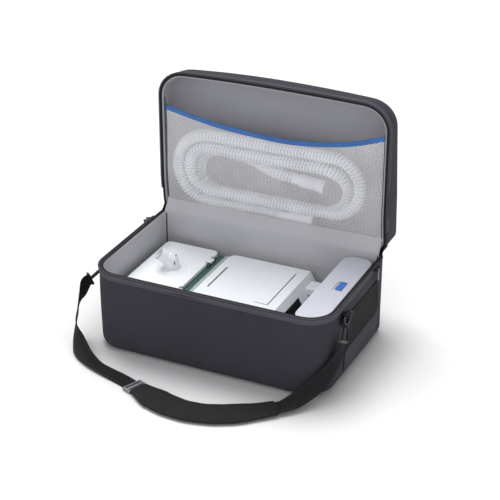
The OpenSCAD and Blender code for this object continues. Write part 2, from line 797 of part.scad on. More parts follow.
// Screw bosses, each with a rib to the nearest end wall
module bosses(z0, z1) {
    intersection() {
        main_body(wall / 2);
        translate([0, 0, z0])
            for (b = boss_spots) {
                translate([b[0], b[1], 0]) cylinder(r = boss_r, h = z1 - z0);
                translate([b[0] - 1, b[1] < unit_w / 2 ? 0 : b[1], 0])
                    cube([2, boss_in, z1 - z0]);
            }
    }
}

// Front controls
display_l = 62;
display_h = 28;
display_x = main_x + 44;
display_z = 44;
dial_in = 38;
dial_x = main_x + main_l - dial_in;
dial_z = 58;
button_in = 24;
button_x = main_x + button_in;
start_z = 66;
ramp_z = 48;
front_y = wall;

// Blower
blower_in = 96;
blower_back = 65;
blower_x = main_x + blower_in;
blower_y = unit_w - blower_back;
blower_z = joint_z + 1;
housing_r = impeller_r + 11;
housing_h = 30;
housing_t = 3;
eye_of_fan = 14;
duct_y = blower_y + impeller_r;
duct_z = blower_z + housing_h / 2;
duct_r = 9;
duct_wall = 2;
duct_l = 40;

// Air inlet on the leaning side, in its own frame: x out of the side, y along it, z up it
grille_y = 93;
grille_up = 25;
module on_slope() {
    in_case()
        translate([main_x + main_l - slope_run, grille_y, unit_h]) rotate([0, -lean, 0])
            translate([0, 0, -grille_up])
                children();
}
grille_t = 2.4;
filter_t = 5;

// Data module in a recess at the back of the leaning side
module_l = 30;
module_y = unit_w - 42;
module_z = 62;
module_h = 12;
module_x = main_x + main_l - 15;
module_out = 21;

module bottom_casing() {
    color(white)
        in_case()
            difference() {
                union() {
                    difference() {
                        intersection() {
                            main_body(0);
                            translate([0, 0, foot_h]) cube([2 * unit_l + hum_l, unit_w, split_h]);
                        }
                        main_body(wall);
                    }
                    bosses(foot_h + wall / 2, joint_z);
                }
                for (b = boss_spots) {
                    translate([b[0], b[1], 0]) cylinder(r = screw_r + 0.3, h = unit_h);
                    translate([b[0], b[1], 0]) cylinder(r = 3, h = foot_h + 3);
                }
                translate([power_x, unit_w - wall - 1, power_z]) rotate([-90, 0, 0])
                    cylinder(r = power_r, h = wall + 2);
            }
}

module top_casing() {
    color(white)
        difference() {
            in_case()
                difference() {
                    union() {
                        difference() {
                            intersection() {
                                main_body(0);
                                translate([0, 0, joint_z + seat_gap])
                                    cube([2 * unit_l + hum_l, unit_w, unit_h]);
                            }
                            main_body(wall);
                        }
                        bosses(joint_z + seat_gap, screw_top + 2);
                    }
                    for (b = boss_spots)
                        translate([b[0], b[1], joint_z - 1])
                            cylinder(r = screw_r + pin_gap, h = screw_top - joint_z + 1);
                    top_grooves();
                    translate([display_x, -1, display_z]) cube([display_l, wall + 2, display_h]);
                    translate([dial_x, -1, dial_z]) rotate([-90, 0, 0])
                        cylinder(r = 3 + pin_gap, h = wall + 2);
                    for (z = [start_z, ramp_z])
                        translate([button_x, -1, z]) rotate([-90, 0, 0])
                            cylinder(r = button_r + seat_gap, h = wall + 2);
                    translate([main_x - 1, duct_y, duct_z]) rotate([0, 90, 0])
                        cylinder(r = duct_r, h = wall + 2);
                    translate([module_x - seat_gap, module_y - seat_gap, module_z - seat_gap])
                        cube([module_out + 20, module_l + 2 * seat_gap, module_h + 2 * seat_gap]);
                }
            on_slope()
                translate([-wall - 3, -grille_l / 2, -grille_w / 2])
                    cube([wall + 10, grille_l, grille_w]);
        }
}

// Fine lines in the top: a slot, an L-shaped joint line and two pinholes
groove_w = 2.2;
groove_d = 1.4;
slot_x = main_x + 13;
slot_y = 68;
slot_l = 78;
ell_in = 42;
ell_x = main_x + main_l - ell_in;
ell_y = 52;
ell_l = 121;
ell_foot = 23;
module top_grooves() {
    translate([slot_x, slot_y, unit_h - groove_d]) cube([groove_w + 1, slot_l, groove_d + 1]);
    translate([ell_x, ell_y, unit_h - groove_d]) cube([groove_w, ell_l, groove_d + 1]);
    translate([ell_x - ell_foot, ell_y, unit_h - groove_d])
        cube([ell_foot + groove_w, groove_w, groove_d + 1]);
    for (p = [[ell_x - 31, ell_y + 59], [ell_x - 11, ell_y + 49]])
        translate([p[0], p[1], unit_h - groove_d]) cylinder(r = 1.4, h = groove_d + 1);
}

foot_r = 8;
module rubber_feet() {
    unit_in = 30;
    hum_in = 26;
    spots = concat(
        [for (x = [main_x + unit_in, main_x + main_l - unit_in], y = [unit_in, unit_w - unit_in]) [x, y]],
        [for (y = [hum_in, unit_w - hum_in]) [hum_in, y]]);
    color(black)
        in_case()
            for (s = spots)
                translate([s[0], s[1], 0]) cylinder(r = foot_r, h = foot_h);
}

module casing_screws() {
    color(steel)
        in_case()
            for (b = boss_spots)
                translate([b[0], b[1], foot_h + 1]) {
                    cylinder(r = 2.8, h = 2);
                    cylinder(r = screw_r, h = screw_top - foot_h - 2);
                }
}

module muffler_foam() {
    foam_rim = 4;
    foam_w = 2 * (housing_r + foam_rim);
    color([0.25, 0.25, 0.27])
        in_case()
            difference() {
                translate([blower_x - foam_w / 2, blower_y - foam_w / 2, foot_h + wall])
                    cube([foam_w, foam_w, blower_z - foot_h - wall]);
                translate([blower_x, blower_y, foot_h + wall + 6])
                    cylinder(r = eye_of_fan, h = split_h);
            }
}

module blower_housing() {
    color([0.30, 0.31, 0.33])
        in_case()
            difference() {
                union() {
                    translate([blower_x, blower_y, blower_z])
                        cylinder(r = housing_r, h = housing_h);
                    translate([main_x + duct_l, duct_y, duct_z]) rotate([0, 90, 0])
                        cylinder(r = duct_r + duct_wall, h = blower_in - duct_l);
                }
                translate([blower_x, blower_y, blower_z + housing_t])
                    cylinder(r = housing_r - housing_t, h = housing_h - 2 * housing_t);
                translate([blower_x, blower_y, blower_z - 1])
                    cylinder(r = eye_of_fan, h = housing_t + 2);
                translate([blower_x, blower_y, blower_z])
                    cylinder(r = shaft_r + 0.4, h = housing_h + 1);
                translate([main_x + duct_l - 1, duct_y, duct_z]) rotate([0, 90, 0])
                    cylinder(r = duct_r, h = blower_in - duct_l);
            }
}

shaft_r = 2.5;
motor_r = 19;
motor_h = 16;
module motor_can() {
    color(steel)
        in_case()
            difference() {
                translate([blower_x, blower_y, blower_z + housing_h])
                    cylinder(r = motor_r, h = motor_h);
                translate([blower_x, blower_y, blower_z + housing_h - 1])
                    cylinder(r = shaft_r + pin_gap, h = motor_h - 3);
            }
}

module impeller() {
    blades = 9;
    disc_t = 2;
    blade_h = 13;
    blade_t = 1.4;
    hub_r = 8;
    hub_h = 16;
    z0 = blower_z + 5;
    color([0.85, 0.86, 0.88])
        in_case()
            translate([blower_x, blower_y, z0])
                difference() {
                    union() {
                        cylinder(r = impeller_r, h = disc_t);
                        cylinder(r = hub_r, h = hub_h);
                        for (k = [0 : blades - 1])
                            rotate([0, 0, k * 360 / blades])
                                translate([hub_r - 2, 1, disc_t / 2]) rotate([0, 0, 18])
                                    cube([impeller_r - 9, blade_t, blade_h + disc_t / 2]);
                    }
                    translate([0, 0, -1]) cylinder(r = shaft_r, h = hub_h + 2);
                }
}

module motor_shaft() {
    color(steel)
        in_case()
            translate([blower_x, blower_y, blower_z + 5])
                cylinder(r = shaft_r, h = housing_h + motor_h - 5 - 6);
}

module air_duct() {
    color([0.55, 0.57, 0.60])
        in_case()
            translate([main_x + wall, duct_y, duct_z]) rotate([0, 90, 0])
                difference() {
                    cylinder(r = duct_r + duct_wall, h = duct_l - wall);
                    translate([0, 0, -1]) cylinder(r = duct_r, h = duct_l + 2);
                }
}

board_z = joint_z + 6;
module main_board() {
    board_l = 118;
    board_w = 44;
    board_t = 1.6;
    board_x = main_x + 24;
    board_y = 22;
    color([0.10, 0.35, 0.20])
        in_case() {
            translate([board_x, board_y, board_z]) cube([board_l, board_w, board_t]);
            for (x = [8, board_l - 8], y = [8, board_w - 8])
                translate([board_x + x, board_y + y, foot_h + wall])
                    cylinder(r = 2.4, h = board_z - foot_h - wall);
            for (c = [[14, 14, 16, 14, 4], [44, 10, 12, 12, 3], [70, 16, 20, 12, 5], [98, 12, 8, 20, 7]])
                translate([board_x + c[0], board_y + c[1], board_z + board_t])
                    cube([c[2], c[3], c[4]]);
        }
}

module lcd_panel() {
    margin = 2;
    lcd_t = 3;
    color([0.15, 0.20, 0.25])
        in_case()
            translate([display_x - margin, wall, display_z - margin])
                cube([display_l + 2 * margin, lcd_t, display_h + 2 * margin]);
}

module display_window() {
    color([0.10, 0.12, 0.14, 0.6])
        in_case()
            translate([display_x + pin_gap, 0.2, display_z + pin_gap])
                cube([display_l - 2 * pin_gap, wall - 0.2, display_h - 2 * pin_gap]);
}

module inlet_filter() {
    color([0.90, 0.90, 0.86])
        on_slope()
            translate([-wall - seat_gap - filter_t, -grille_l / 2 - 3, -grille_w / 2 - 3])
                cube([filter_t, grille_l + 6, grille_w + 6]);
}

module inlet_grille() {
    slots = 11;
    slot_p = (grille_l - 6) / slots;
    color(black)
        on_slope()
            difference() {
                translate([-grille_t - 0.2, -grille_l / 2 + seat_gap, -grille_w / 2 + seat_gap])
                    cube([grille_t, grille_l - 2 * seat_gap, grille_w - 2 * seat_gap]);
                for (k = [0 : slots - 1])
                    translate([-grille_t - 1, -grille_l / 2 + 3.6 + k * slot_p, -grille_w / 2 + 3])
                        cube([grille_t + 2, slot_p - 1.4, grille_w - 6]);
            }
}

power_x = main_x + main_l - 34;
power_z = foot_h + 13;
power_r = 6;
jack_r = 3.2;
module power_inlet() {
    color(black)
        in_case()
            translate([power_x, unit_w - 14, power_z]) rotate([-90, 0, 0])
                difference() {
                    union() {
                        cylinder(r = power_r - pin_gap, h = 14);
                        translate([-8, -8, 0]) cube([16, 16, 14 - wall]);
                    }
                    translate([0, 0, 4]) cylinder(r = jack_r, h = 12);
                }
}

module control_dial() {
    stem_l = 9;
    color([0.80, 0.82, 0.85])
        in_case()
            translate([dial_x, wall + 4, dial_z]) rotate([90, 0, 0]) {
                cylinder(r = 3, h = stem_l);
                translate([0, 0, wall + 4 + seat_gap])
                    difference() {
                        cylinder(r = dial_r, h = 9);
                        for (k = [0 : 11])
                            rotate([0, 0, k * 30]) translate([dial_r + 0.6, 0, -1])
                                cylinder(r = 1.4, h = 11, $fn = 16);
                        translate([0, dial_r - 3.5, 8.2]) cylinder(r = 1, h = 2, $fn = 16);
                    }
            }
}

button_travel = 1.5;
button_proud = 2;
module front_button(z) {
    flange_t = 1.4;
    in_case()
        translate([button_x, wall + flange_t + seat_gap, z]) rotate([90, 0, 0]) {
            cylinder(r = button_r, h = wall + flange_t + seat_gap + button_proud);
            cylinder(r = button_r + 1.6, h = flange_t);
        }
}

module start_button() {
    color([0.35, 0.65, 0.45]) front_button(start_z);
}

module ramp_button() {
    color([0.75, 0.78, 0.82]) front_button(ramp_z);
}

module data_module() {
    color(white)
        in_case()
            translate([module_x, module_y, module_z]) cube([module_out, module_l, module_h]);
}

// Humidifier

tray_gap = 0.6;
module humidifier_base() {
    port = 8;
    color(white)
        in_case()
            difference() {
                translate([0, 0, foot_h])
                    linear_extrude(height = tray_h)
                        corner_rounded(hum_l, unit_w, 10);
                translate([wall, wall, foot_h + port])
                    linear_extrude(height = tray_h)
                        corner_rounded(hum_l - 2 * wall, unit_w - 2 * wall, 10 - wall);
                translate([heater_x, heater_y, foot_h + port - heater_t])
                    cylinder(r = heater_r + pin_gap, h = heater_t + 1);
            }
}

heater_r = 42;
heater_t = 3;
heater_x = hum_l / 2 - 2;
heater_y = unit_w / 2;
tray_floor = foot_h + 8;
module heater_plate() {
    color(steel)
        in_case()
            translate([heater_x, heater_y, tray_floor - heater_t])
                cylinder(r = heater_r, h = heater_t);
}

plate_t = 2;
tank_x = wall + tray_gap;
tank_l = hum_l - 2 * tank_x;
tank_w = unit_w - 2 * tank_x;
tank_z = tray_floor + seat_gap + plate_t;
cover_z = unit_h - cover_t;
seal_t = 2;
tank_top = cover_z - seal_t - seat_gap;
shoulder_z = unit_h - 6;
tank_r = 7;
hinge_x = cover_l + 2;
cover_axis_z = unit_h - 3;
knuckle_r = 2.6;
hinge_pin_r = 1.2;
knuckle_l = 16;
lug_l = 5;
hinge_ys = [28, unit_w - 28 - knuckle_l];

module water_tank() {
    cut_l = cover_l + 1 - tank_x;
    color(teal)
        in_case()
            difference() {
                union() {
                    difference() {
                        translate([tank_x, tank_x, tank_z])
                            linear_extrude(height = shoulder_z - tank_z)
                                corner_rounded(tank_l, tank_w, tank_r);
                        translate([tank_x + tank_wall, tank_x + tank_wall, tank_z + tank_wall])
                            linear_extrude(height = shoulder_z - tank_z - 2 * tank_wall)
                                corner_rounded(tank_l - 2 * tank_wall, tank_w - 2 * tank_wall,
                                    tank_r - tank_wall);
                        translate([tank_x - 1, tank_x - 1, tank_top])
                            cube([cut_l + 1, tank_w + 2, unit_h]);
                        translate([tank_x + tank_wall, tank_x + tank_wall, tank_z + 10])
                            linear_extrude(height = unit_h)
                                corner_rounded(cut_l - 2 * tank_wall, tank_w - 2 * tank_wall,
                                    tank_r - tank_wall);
                    }
                    for (y = hinge_ys, s = [-lug_l - seat_gap, knuckle_l + seat_gap])
                        translate([hinge_x, y + s, 0]) {
                            translate([0, 0, cover_axis_z]) rotate([-90, 0, 0])
                                cylinder(r = knuckle_r, h = lug_l);
                            translate([0, 0, shoulder_z - 3])
                                cube([knuckle_r, lug_l, cover_axis_z - shoulder_z + 3]);
                        }
                }
                for (y = hinge_ys)
                    translate([hinge_x, y - lug_l - 1, cover_axis_z]) rotate([-90, 0, 0])
                        cylinder(r = hinge_pin_r + pin_gap, h = knuckle_l + 2 * lug_l + 2);
                translate([tank_x + tank_l - tank_wall - 1, duct_y, duct_z]) rotate([0, 90, 0])
                    cylinder(r = duct_r, h = tank_wall + 2);
            }
}

module tank_plate() {
    color(steel)
        in_case()
            translate([heater_x, heater_y, tank_z - plate_t])
                cylinder(r = heater_r + 4, h = plate_t);
}

elbow_x = 54;
elbow_y = 102;
socket_r = 12;
module tank_cover() {
    color(white)
        in_case()
            difference() {
                union() {
                    difference() {
                        translate([0, 0, cover_z])
                            linear_extrude(height = cover_t) corner_rounded(cover_l, unit_w, 10);
                        for (y = hinge_ys)
                            translate([hinge_x - 6, y - lug_l - 1, cover_z - 1])
                                cube([8, knuckle_l + 2 * lug_l + 2, cover_t + 2]);
                    }
                    for (y = hinge_ys) {
                        translate([hinge_x, y, cover_axis_z]) rotate([-90, 0, 0])
                            cylinder(r = knuckle_r, h = knuckle_l);
                        translate([hinge_x - 8, y, cover_axis_z - knuckle_r + 0.4])
                            cube([8, knuckle_l, 2 * knuckle_r - 0.8]);
                    }
                }
                for (y = hinge_ys)
                    translate([hinge_x, y - 1, cover_axis_z]) rotate([-90, 0, 0])
                        cylinder(r = hinge_pin_r + pin_gap, h = knuckle_l + 2);
                translate([elbow_x, elbow_y, cover_z - 1])
                    cylinder(r = socket_r + pin_gap, h = cover_t + 2);
            }
}

module tank_seal() {
    color([0.75, 0.78, 0.80])
        in_case()
            difference() {
                translate([tank_x, tank_x, cover_z - seal_t])
                    linear_extrude(height = seal_t)
                        corner_rounded(cover_l - tank_x - 8, tank_w, tank_r);
                translate([tank_x + 4, tank_x + 4, cover_z - seal_t - 1])
                    linear_extrude(height = seal_t + 2)
                        corner_rounded(cover_l - tank_x - 16, tank_w - 8, tank_r - 4);
            }
}

module tank_hinge_pins() {
    color(steel)
        in_case()
            for (y = hinge_ys)
                translate([hinge_x, y - lug_l, cover_axis_z]) rotate([-90, 0, 0])
                    cylinder(r = hinge_pin_r, h = knuckle_l + 2 * lug_l);
}

// Swivel elbow: a flanged stem through the lid, a ball and a leaning outlet, whose slopes
// are whole-number ratios
ball_z = unit_h + 14;
outlet_turn = 180 + atan2(336, 527);
outlet_lift = atan2(3, 4);
outlet_l = 25;
outlet_free = 15;
stop_r = outlet_r + 1.5;
bore_r = 8;
elbow_flange = 2;
module outlet_frame() {
    translate([elbow_x, elbow_y, ball_z]) rotate([0, 0, outlet_turn])
        rotate([0, 90 - outlet_lift, 0])
            children();
}

// Half section of the stem: flange under the lid, neck, collar and domed head
module stem_section(r_neck, r_collar, r_head, low) {
    square([r_neck, ball_z - low]);
    translate([0, unit_h + seat_gap - low]) square([r_collar, collar_t]);
    translate([0, unit_h + seat_gap - low]) square([r_head, ball_z - unit_h - seat_gap]);
    translate([0, ball_z - low])
        intersection() {
            circle(r = r_head);
            square([r_head, r_head]);
        }
}

collar_t = 3;
module swivel_elbow() {
    low = cover_z - elbow_flange - seat_gap;
    color(white)
        in_case()
            difference() {
                union() {
                    translate([elbow_x, elbow_y, low])
                        rotate_extrude() {
                            square([socket_r + 2, elbow_flange]);
                            stem_section(socket_r, socket_r + 4, socket_r + 1.5, low);
                        }
                    outlet_frame() {
                        cylinder(r = outlet_r, h = outlet_l);
                        cylinder(r = stop_r, h = outlet_l - outlet_free);
                    }
                }
                translate([elbow_x, elbow_y, low - 1])
                    rotate_extrude() {
                        square([bore_r, ball_z - low + 1]);
                        translate([0, ball_z - low + 1])
                            intersection() {
                                circle(r = bore_r);
                                square([bore_r, bore_r]);
                            }
                    }
                outlet_frame() cylinder(r = bore_r - 0.4, h = outlet_l + 1);
            }
}

// Accessory box at the right end of the case

box_x1 = in_x - right_gap;
box_x0 = box_x1 - box_w;
box_l = 2 * (in_y - box_end_gap);
box_y0 = 1 - box_l / 2;
box_z0 = floor_z + seat_gap;
box_r = 20;
box_split = box_h - box_lid_h;
box_axis_z = box_split + 0.5 * seat_gap;
box_knuckle_r = 2.6;
box_pin_r = 1.2;
box_axis_x = -box_knuckle_r;
box_knuckles = 5;
box_knuckle_l = 24;
module in_box_place() {
    translate([box_x0, box_y0, box_z0]) children();
}

module box_hinge(parity) {
    first = box_l / 2 - box_knuckles * box_knuckle_l / 2;
    for (k = [0 : box_knuckles - 1])
        if (k % 2 == parity)
            translate([box_axis_x, first + k * box_knuckle_l + seat_gap / 2, box_axis_z]) {
                rotate([-90, 0, 0]) cylinder(r = box_knuckle_r, h = box_knuckle_l - seat_gap);
                translate([0, 0, parity == 0 ? -box_knuckle_r : seat_gap])
                    cube([box_knuckle_r + box_wall / 2, box_knuckle_l - seat_gap,
                        box_knuckle_r - seat_gap]);
            }
}

module box_pin_bore() {
    translate([box_axis_x, box_l / 2 - box_knuckles * box_knuckle_l / 2 - 1, box_axis_z])
        rotate([-90, 0, 0])
            cylinder(r = box_pin_r + pin_gap, h = box_knuckles * box_knuckle_l + 2);
}

module box_base() {
    color(white)
        in_box_place()
            difference() {
                union() {
                    difference() {
                        linear_extrude(height = box_split) corner_rounded(box_w, box_l, box_r);
                        translate([box_wall, box_wall, box_wall])
                            linear_extrude(height = box_split)
                                corner_rounded(box_w - 2 * box_wall, box_l - 2 * box_wall,
                                    box_r - box_wall);
                    }
                    box_hinge(0);
                }
                box_pin_bore();
            }
}

latch_l = 30;
latch_w = 12;
latch_t = 2.4;
latch_x = box_w - 12 - latch_w;
latch_y = box_l / 2 - 6;
latch_travel = 4;
module box_lid() {
    color(white)
        in_box_place()
            difference() {
                union() {
                    translate([0, 0, box_split + seat_gap])
                        difference() {
                            linear_extrude(height = box_lid_h - seat_gap)
                                corner_rounded(box_w, box_l, box_r);
                            translate([box_wall, box_wall, -1])
                                linear_extrude(height = box_lid_h - seat_gap - box_wall + 1 - 2)
                                    corner_rounded(box_w - 2 * box_wall, box_l - 2 * box_wall,
                                        box_r - box_wall);
                        }
                    box_hinge(1);
                }
                box_pin_bore();
                translate([latch_x - latch_travel - seat_gap, latch_y - seat_gap, box_h - 1.6])
                    cube([latch_w + latch_travel + 2 * seat_gap, latch_l + 2 * seat_gap, 3]);
            }
}

module box_latch() {
    color(blue)
        in_box_place()
            translate([latch_x, latch_y, box_h - 1.6 + seat_gap])
                linear_extrude(height = latch_t) corner_rounded(latch_w, latch_l, 4);
}

module box_hinge_pin() {
    color(steel)
        in_box_place()
            translate([box_axis_x, box_l / 2 - box_knuckles * box_knuckle_l / 2, box_axis_z])
                rotate([-90, 0, 0])
                    cylinder(r = box_pin_r, h = box_knuckles * box_knuckle_l);
}

case_shell();
case_lining();
floor_pad();
case_binding();
base_zip_tape();
side_pocket();
hinge_strip();
strap_tabs();
d_rings();
snap_hooks();
strap_web_left();
strap_adjuster();
shoulder_pad();
strap_web_right();
zip_slider_left();
zip_slider_right();
zip_pull_left();
zip_pull_right();
lid_shell();
lid_lining();
lid_binding();
lid_zip_tape();
net_pocket();
pocket_trim();
hose();
hose_cuff_mask();
hose_cuff_machine();
bottom_casing();
top_casing();
rubber_feet();
casing_screws();
muffler_foam();
blower_housing();
motor_can();
impeller();
motor_shaft();
air_duct();
main_board();
lcd_panel();
display_window();
inlet_filter();
inlet_grille();
power_inlet();
control_dial();
start_button();
ramp_button();
data_module();
humidifier_base();
heater_plate();
water_tank();
tank_plate();
tank_cover();
tank_seal();
tank_hinge_pins();
swivel_elbow();
box_base();
box_lid();
box_latch();
box_hinge_pin();
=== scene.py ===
"""Looks of the breathing machine packed in its open carry case. Lengths are in millimetres."""
import random
from math import atan, copysign, cos, exp, pi, radians, sin, sqrt

import bpy
import numpy as np
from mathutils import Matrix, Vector


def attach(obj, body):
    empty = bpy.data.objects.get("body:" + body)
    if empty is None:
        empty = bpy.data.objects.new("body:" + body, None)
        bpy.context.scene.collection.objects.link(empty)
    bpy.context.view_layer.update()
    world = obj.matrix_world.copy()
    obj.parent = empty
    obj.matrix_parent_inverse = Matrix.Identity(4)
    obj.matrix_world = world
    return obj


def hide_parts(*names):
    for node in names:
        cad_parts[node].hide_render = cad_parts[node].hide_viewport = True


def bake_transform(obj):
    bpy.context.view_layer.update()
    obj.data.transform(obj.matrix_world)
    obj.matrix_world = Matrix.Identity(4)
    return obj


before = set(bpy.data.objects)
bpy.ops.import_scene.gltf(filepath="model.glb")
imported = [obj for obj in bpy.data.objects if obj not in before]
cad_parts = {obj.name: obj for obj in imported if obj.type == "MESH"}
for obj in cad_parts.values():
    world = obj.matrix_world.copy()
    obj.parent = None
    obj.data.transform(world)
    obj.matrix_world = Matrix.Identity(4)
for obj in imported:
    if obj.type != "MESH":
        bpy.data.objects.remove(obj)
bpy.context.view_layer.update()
scene = bpy.context.scene
scene.view_settings.view_transform = "Standard"
MM = 0.001


def placed(name, data):
    """New object in the scene."""
    obj = bpy.data.objects.new(name, data)
    scene.collection.objects.link(obj)
    return obj


# Camera

CAMERA_LENS, CAMERA_SENSOR = 108, 36
CAMERA_AT = Vector((0.9619, -2.0134, 1.3148))
CAMERA_AIM = Vector((0.0205, 0, 0.1725))

camera = placed("camera", bpy.data.cameras.new("camera"))
camera.data.lens = CAMERA_LENS
camera.data.sensor_width = CAMERA_SENSOR
camera.location = CAMERA_AT
camera.rotation_euler = (CAMERA_AIM - CAMERA_AT).to_track_quat("-Z", "Y").to_euler()
scene.camera = camera

# Sizes of the case and its contents, as the solids have them

HX, HY = 212.5, 132.5
CASE_H, LID_H = 147.0, 61.0
LID_TOP = CASE_H + LID_H
HINGE_Z, RIM_Z, PANEL_Z = 147.3, 147.6, 201.0
PANEL_Y = HY + PANEL_Z - HINGE_Z
CORNER, BACK = 46.0, 16.0
EDGE, FRONT_EDGE, LID_EDGE = 12.0, 16.0, 32.0
IN_X, IN_Y = 205.5, 125.5
TAPE_STOP = 38.0
NET_W = 48.6
UNIT = np.array([-192.0, -85.0, 10.3])
CORNERS = ((1, -1), (1, 1), (-1, 1), (-1, -1))
SIDES = ((-1, "left"), (1, "right"))

# How the open cloth lid sags, and from where on

BOW_LEFT, BOW_RIGHT, BOW_FROM = 6.0, 4.0, 40
DROOP_LEFT, DROOP_RIGHT = 8.0, 5.0
LID_LEAN, LEAN_OVER = 3.0, 60


def array(points):
    return np.asarray(points, dtype=float)


def unit(v):
    """The same directions with a length of one."""
    return v / np.linalg.norm(v, axis=-1, keepdims=True)


def reach(p):
    """How far along a line of points each of them lies."""
    return np.concatenate([[0], np.cumsum(np.linalg.norm(np.diff(p, axis=0), axis=1))])


def at_reach(d, steps, values):
    """Row between the rows of values that are given at steps along a line."""
    return array([np.interp(d, steps, column) for column in values.T])


def raised(p, z):
    """Points of a plan with their height."""
    return np.column_stack([p, np.zeros(len(p)) + z])


def ring_about(middle, r, side, up, count):
    """Round ring of points from the two directions across its way."""
    a = 2 * pi * np.arange(count)[:, None] / count
    return middle + r * (np.cos(a) * side + np.sin(a) * up)


def lean(share, v):
    """Sideways shift of the open lid, from nothing at its panel and its fold to all of it at the rim."""
    return -LID_LEAN * share * np.clip(v / LEAN_OVER, 0, 1)


def open_lid(p):
    """Turns points of the closed lid to where they are with the lid open.

    The free side of the cloth lid bows: its corners lie lower than its middle, most of all on
    the panel. Its rim leans a little to the left.
    """
    p = array(p)
    x, y, z = p[..., 0], p[..., 1], p[..., 2]
    far = np.clip((BOW_FROM - y) / (BOW_FROM + HY), 0, 1) ** 2
    depth = np.clip((z - RIM_Z) / LID_H, 0, 1)
    bow = np.where(x < 0, BOW_LEFT + DROOP_LEFT * depth, BOW_RIGHT + DROOP_RIGHT * depth)
    y_bowed = y + bow * (x / HX) ** 2 * far
    return np.stack([x + lean(1 - depth, HY - y), HY + z - HINGE_Z, HINGE_Z + HY - y_bowed], -1)


def in_place(shape, body):
    """The shape, turned open where it belongs to the lid."""
    verts, faces = shape
    return (open_lid(verts) if body == "lid" else verts), faces


def on_panel(u, v, w):
    """Point of the open lid from its place across, its height over the fold and its depth."""
    return np.stack([u + lean(w / LID_H, v), PANEL_Y - w, HINGE_Z + v], -1)


def smooth_step(t):
    t = np.clip(t, 0, 1)
    return t * t * (3 - 2 * t)


def folds(p, size, seed, count=7):
    """Smooth waves in space, as slack fabric has them, from -1 to 1 or so."""
    draw = random.Random(seed)
    total = np.zeros(p.shape[:-1])
    for _ in range(count):
        way = unit(array([draw.gauss(0, 1) for _ in range(3)]))
        rate = 2 * pi / (size * draw.uniform(0.7, 1.6))
        total += np.sin(p @ way * rate + draw.uniform(0, 6.28))
    return total / sqrt(count)


# Materials

UV_SCALE = 20


def rgb(code):
    parts = [int(code[i : i + 2], 16) / 255 for i in (0, 2, 4)]
    return [c / 12.92 if c <= 0.04045 else ((c + 0.055) / 1.055) ** 2.4 for c in parts]


def feed(tree, socket, value):
    """Gives a socket a value, or a link from an output of another node."""
    if isinstance(value, bpy.types.NodeSocket):
        tree.links.new(value, socket)
    else:
        socket.default_value = value


def add_node(tree, kind, **values):
    """New shader node with its named sockets fed."""
    node = tree.nodes.new("ShaderNode" + kind)
    for socket, value in values.items():
        feed(tree, node.inputs[socket.replace("_", " ")], value)
    return node


def maths(tree, operation, *values):
    """Result of an operation on numbers and on outputs of other nodes."""
    node = add_node(tree, "Math")
    node.operation = operation
    for socket, value in zip(node.inputs, values):
        feed(tree, socket, value)
    return node.outputs[0]


def scaled(tree, vector, factor):
    """Vector or colour times a factor."""
    node = add_node(tree, "VectorMath")
    node.operation = "SCALE"
    feed(tree, node.inputs[0], vector)
    feed(tree, node.inputs["Scale"], factor)
    return node.outputs[0]


def shaded(tree, colour, height, least, low, high):
    """Colour with painted shade in the hollows of a relief and painted light on its crests."""
    shade = add_node(tree, "MapRange", Value=height, From_Min=least, To_Min=low, To_Max=high)
    return scaled(tree, colour, shade.outputs["Result"])


def make_weave():
    """Group that gives the height of a woven cloth from the place, the normal and the pitch."""
    group = bpy.data.node_groups.new("weave", "ShaderNodeTree")
    for name, way, kind in (("Place", "INPUT", "Vector"), ("Normal", "INPUT", "Vector"),
                            ("Rate", "INPUT", "Float"), ("Height", "OUTPUT", "Float")):
        group.interface.new_socket(name, in_out=way, socket_type="NodeSocket" + kind)
    start, end = group.nodes.new("NodeGroupInput"), group.nodes.new("NodeGroupOutput")
    place = scaled(group, start.outputs["Place"], start.outputs["Rate"])
    normal = add_node(group, "SeparateXYZ", Vector=start.outputs["Normal"])
    waves = [maths(group, "SINE", out) for out in add_node(group, "SeparateXYZ", Vector=place).outputs]
    sizes = [maths(group, "POWER", maths(group, "ABSOLUTE", out), 4) for out in normal.outputs]
    parts = [maths(group, "MULTIPLY", maths(group, "MULTIPLY", waves[i - 2], waves[i - 1]), sizes[i])
             for i in range(3)]
    total = maths(group, "ADD", maths(group, "ADD", *parts[:2]), parts[2])
    whole = maths(group, "ADD", maths(group, "ADD", *sizes[:2]), sizes[2])
    feed(group, end.inputs["Height"], maths(group, "DIVIDE", total, whole))
    return group


WEAVE = make_weave()


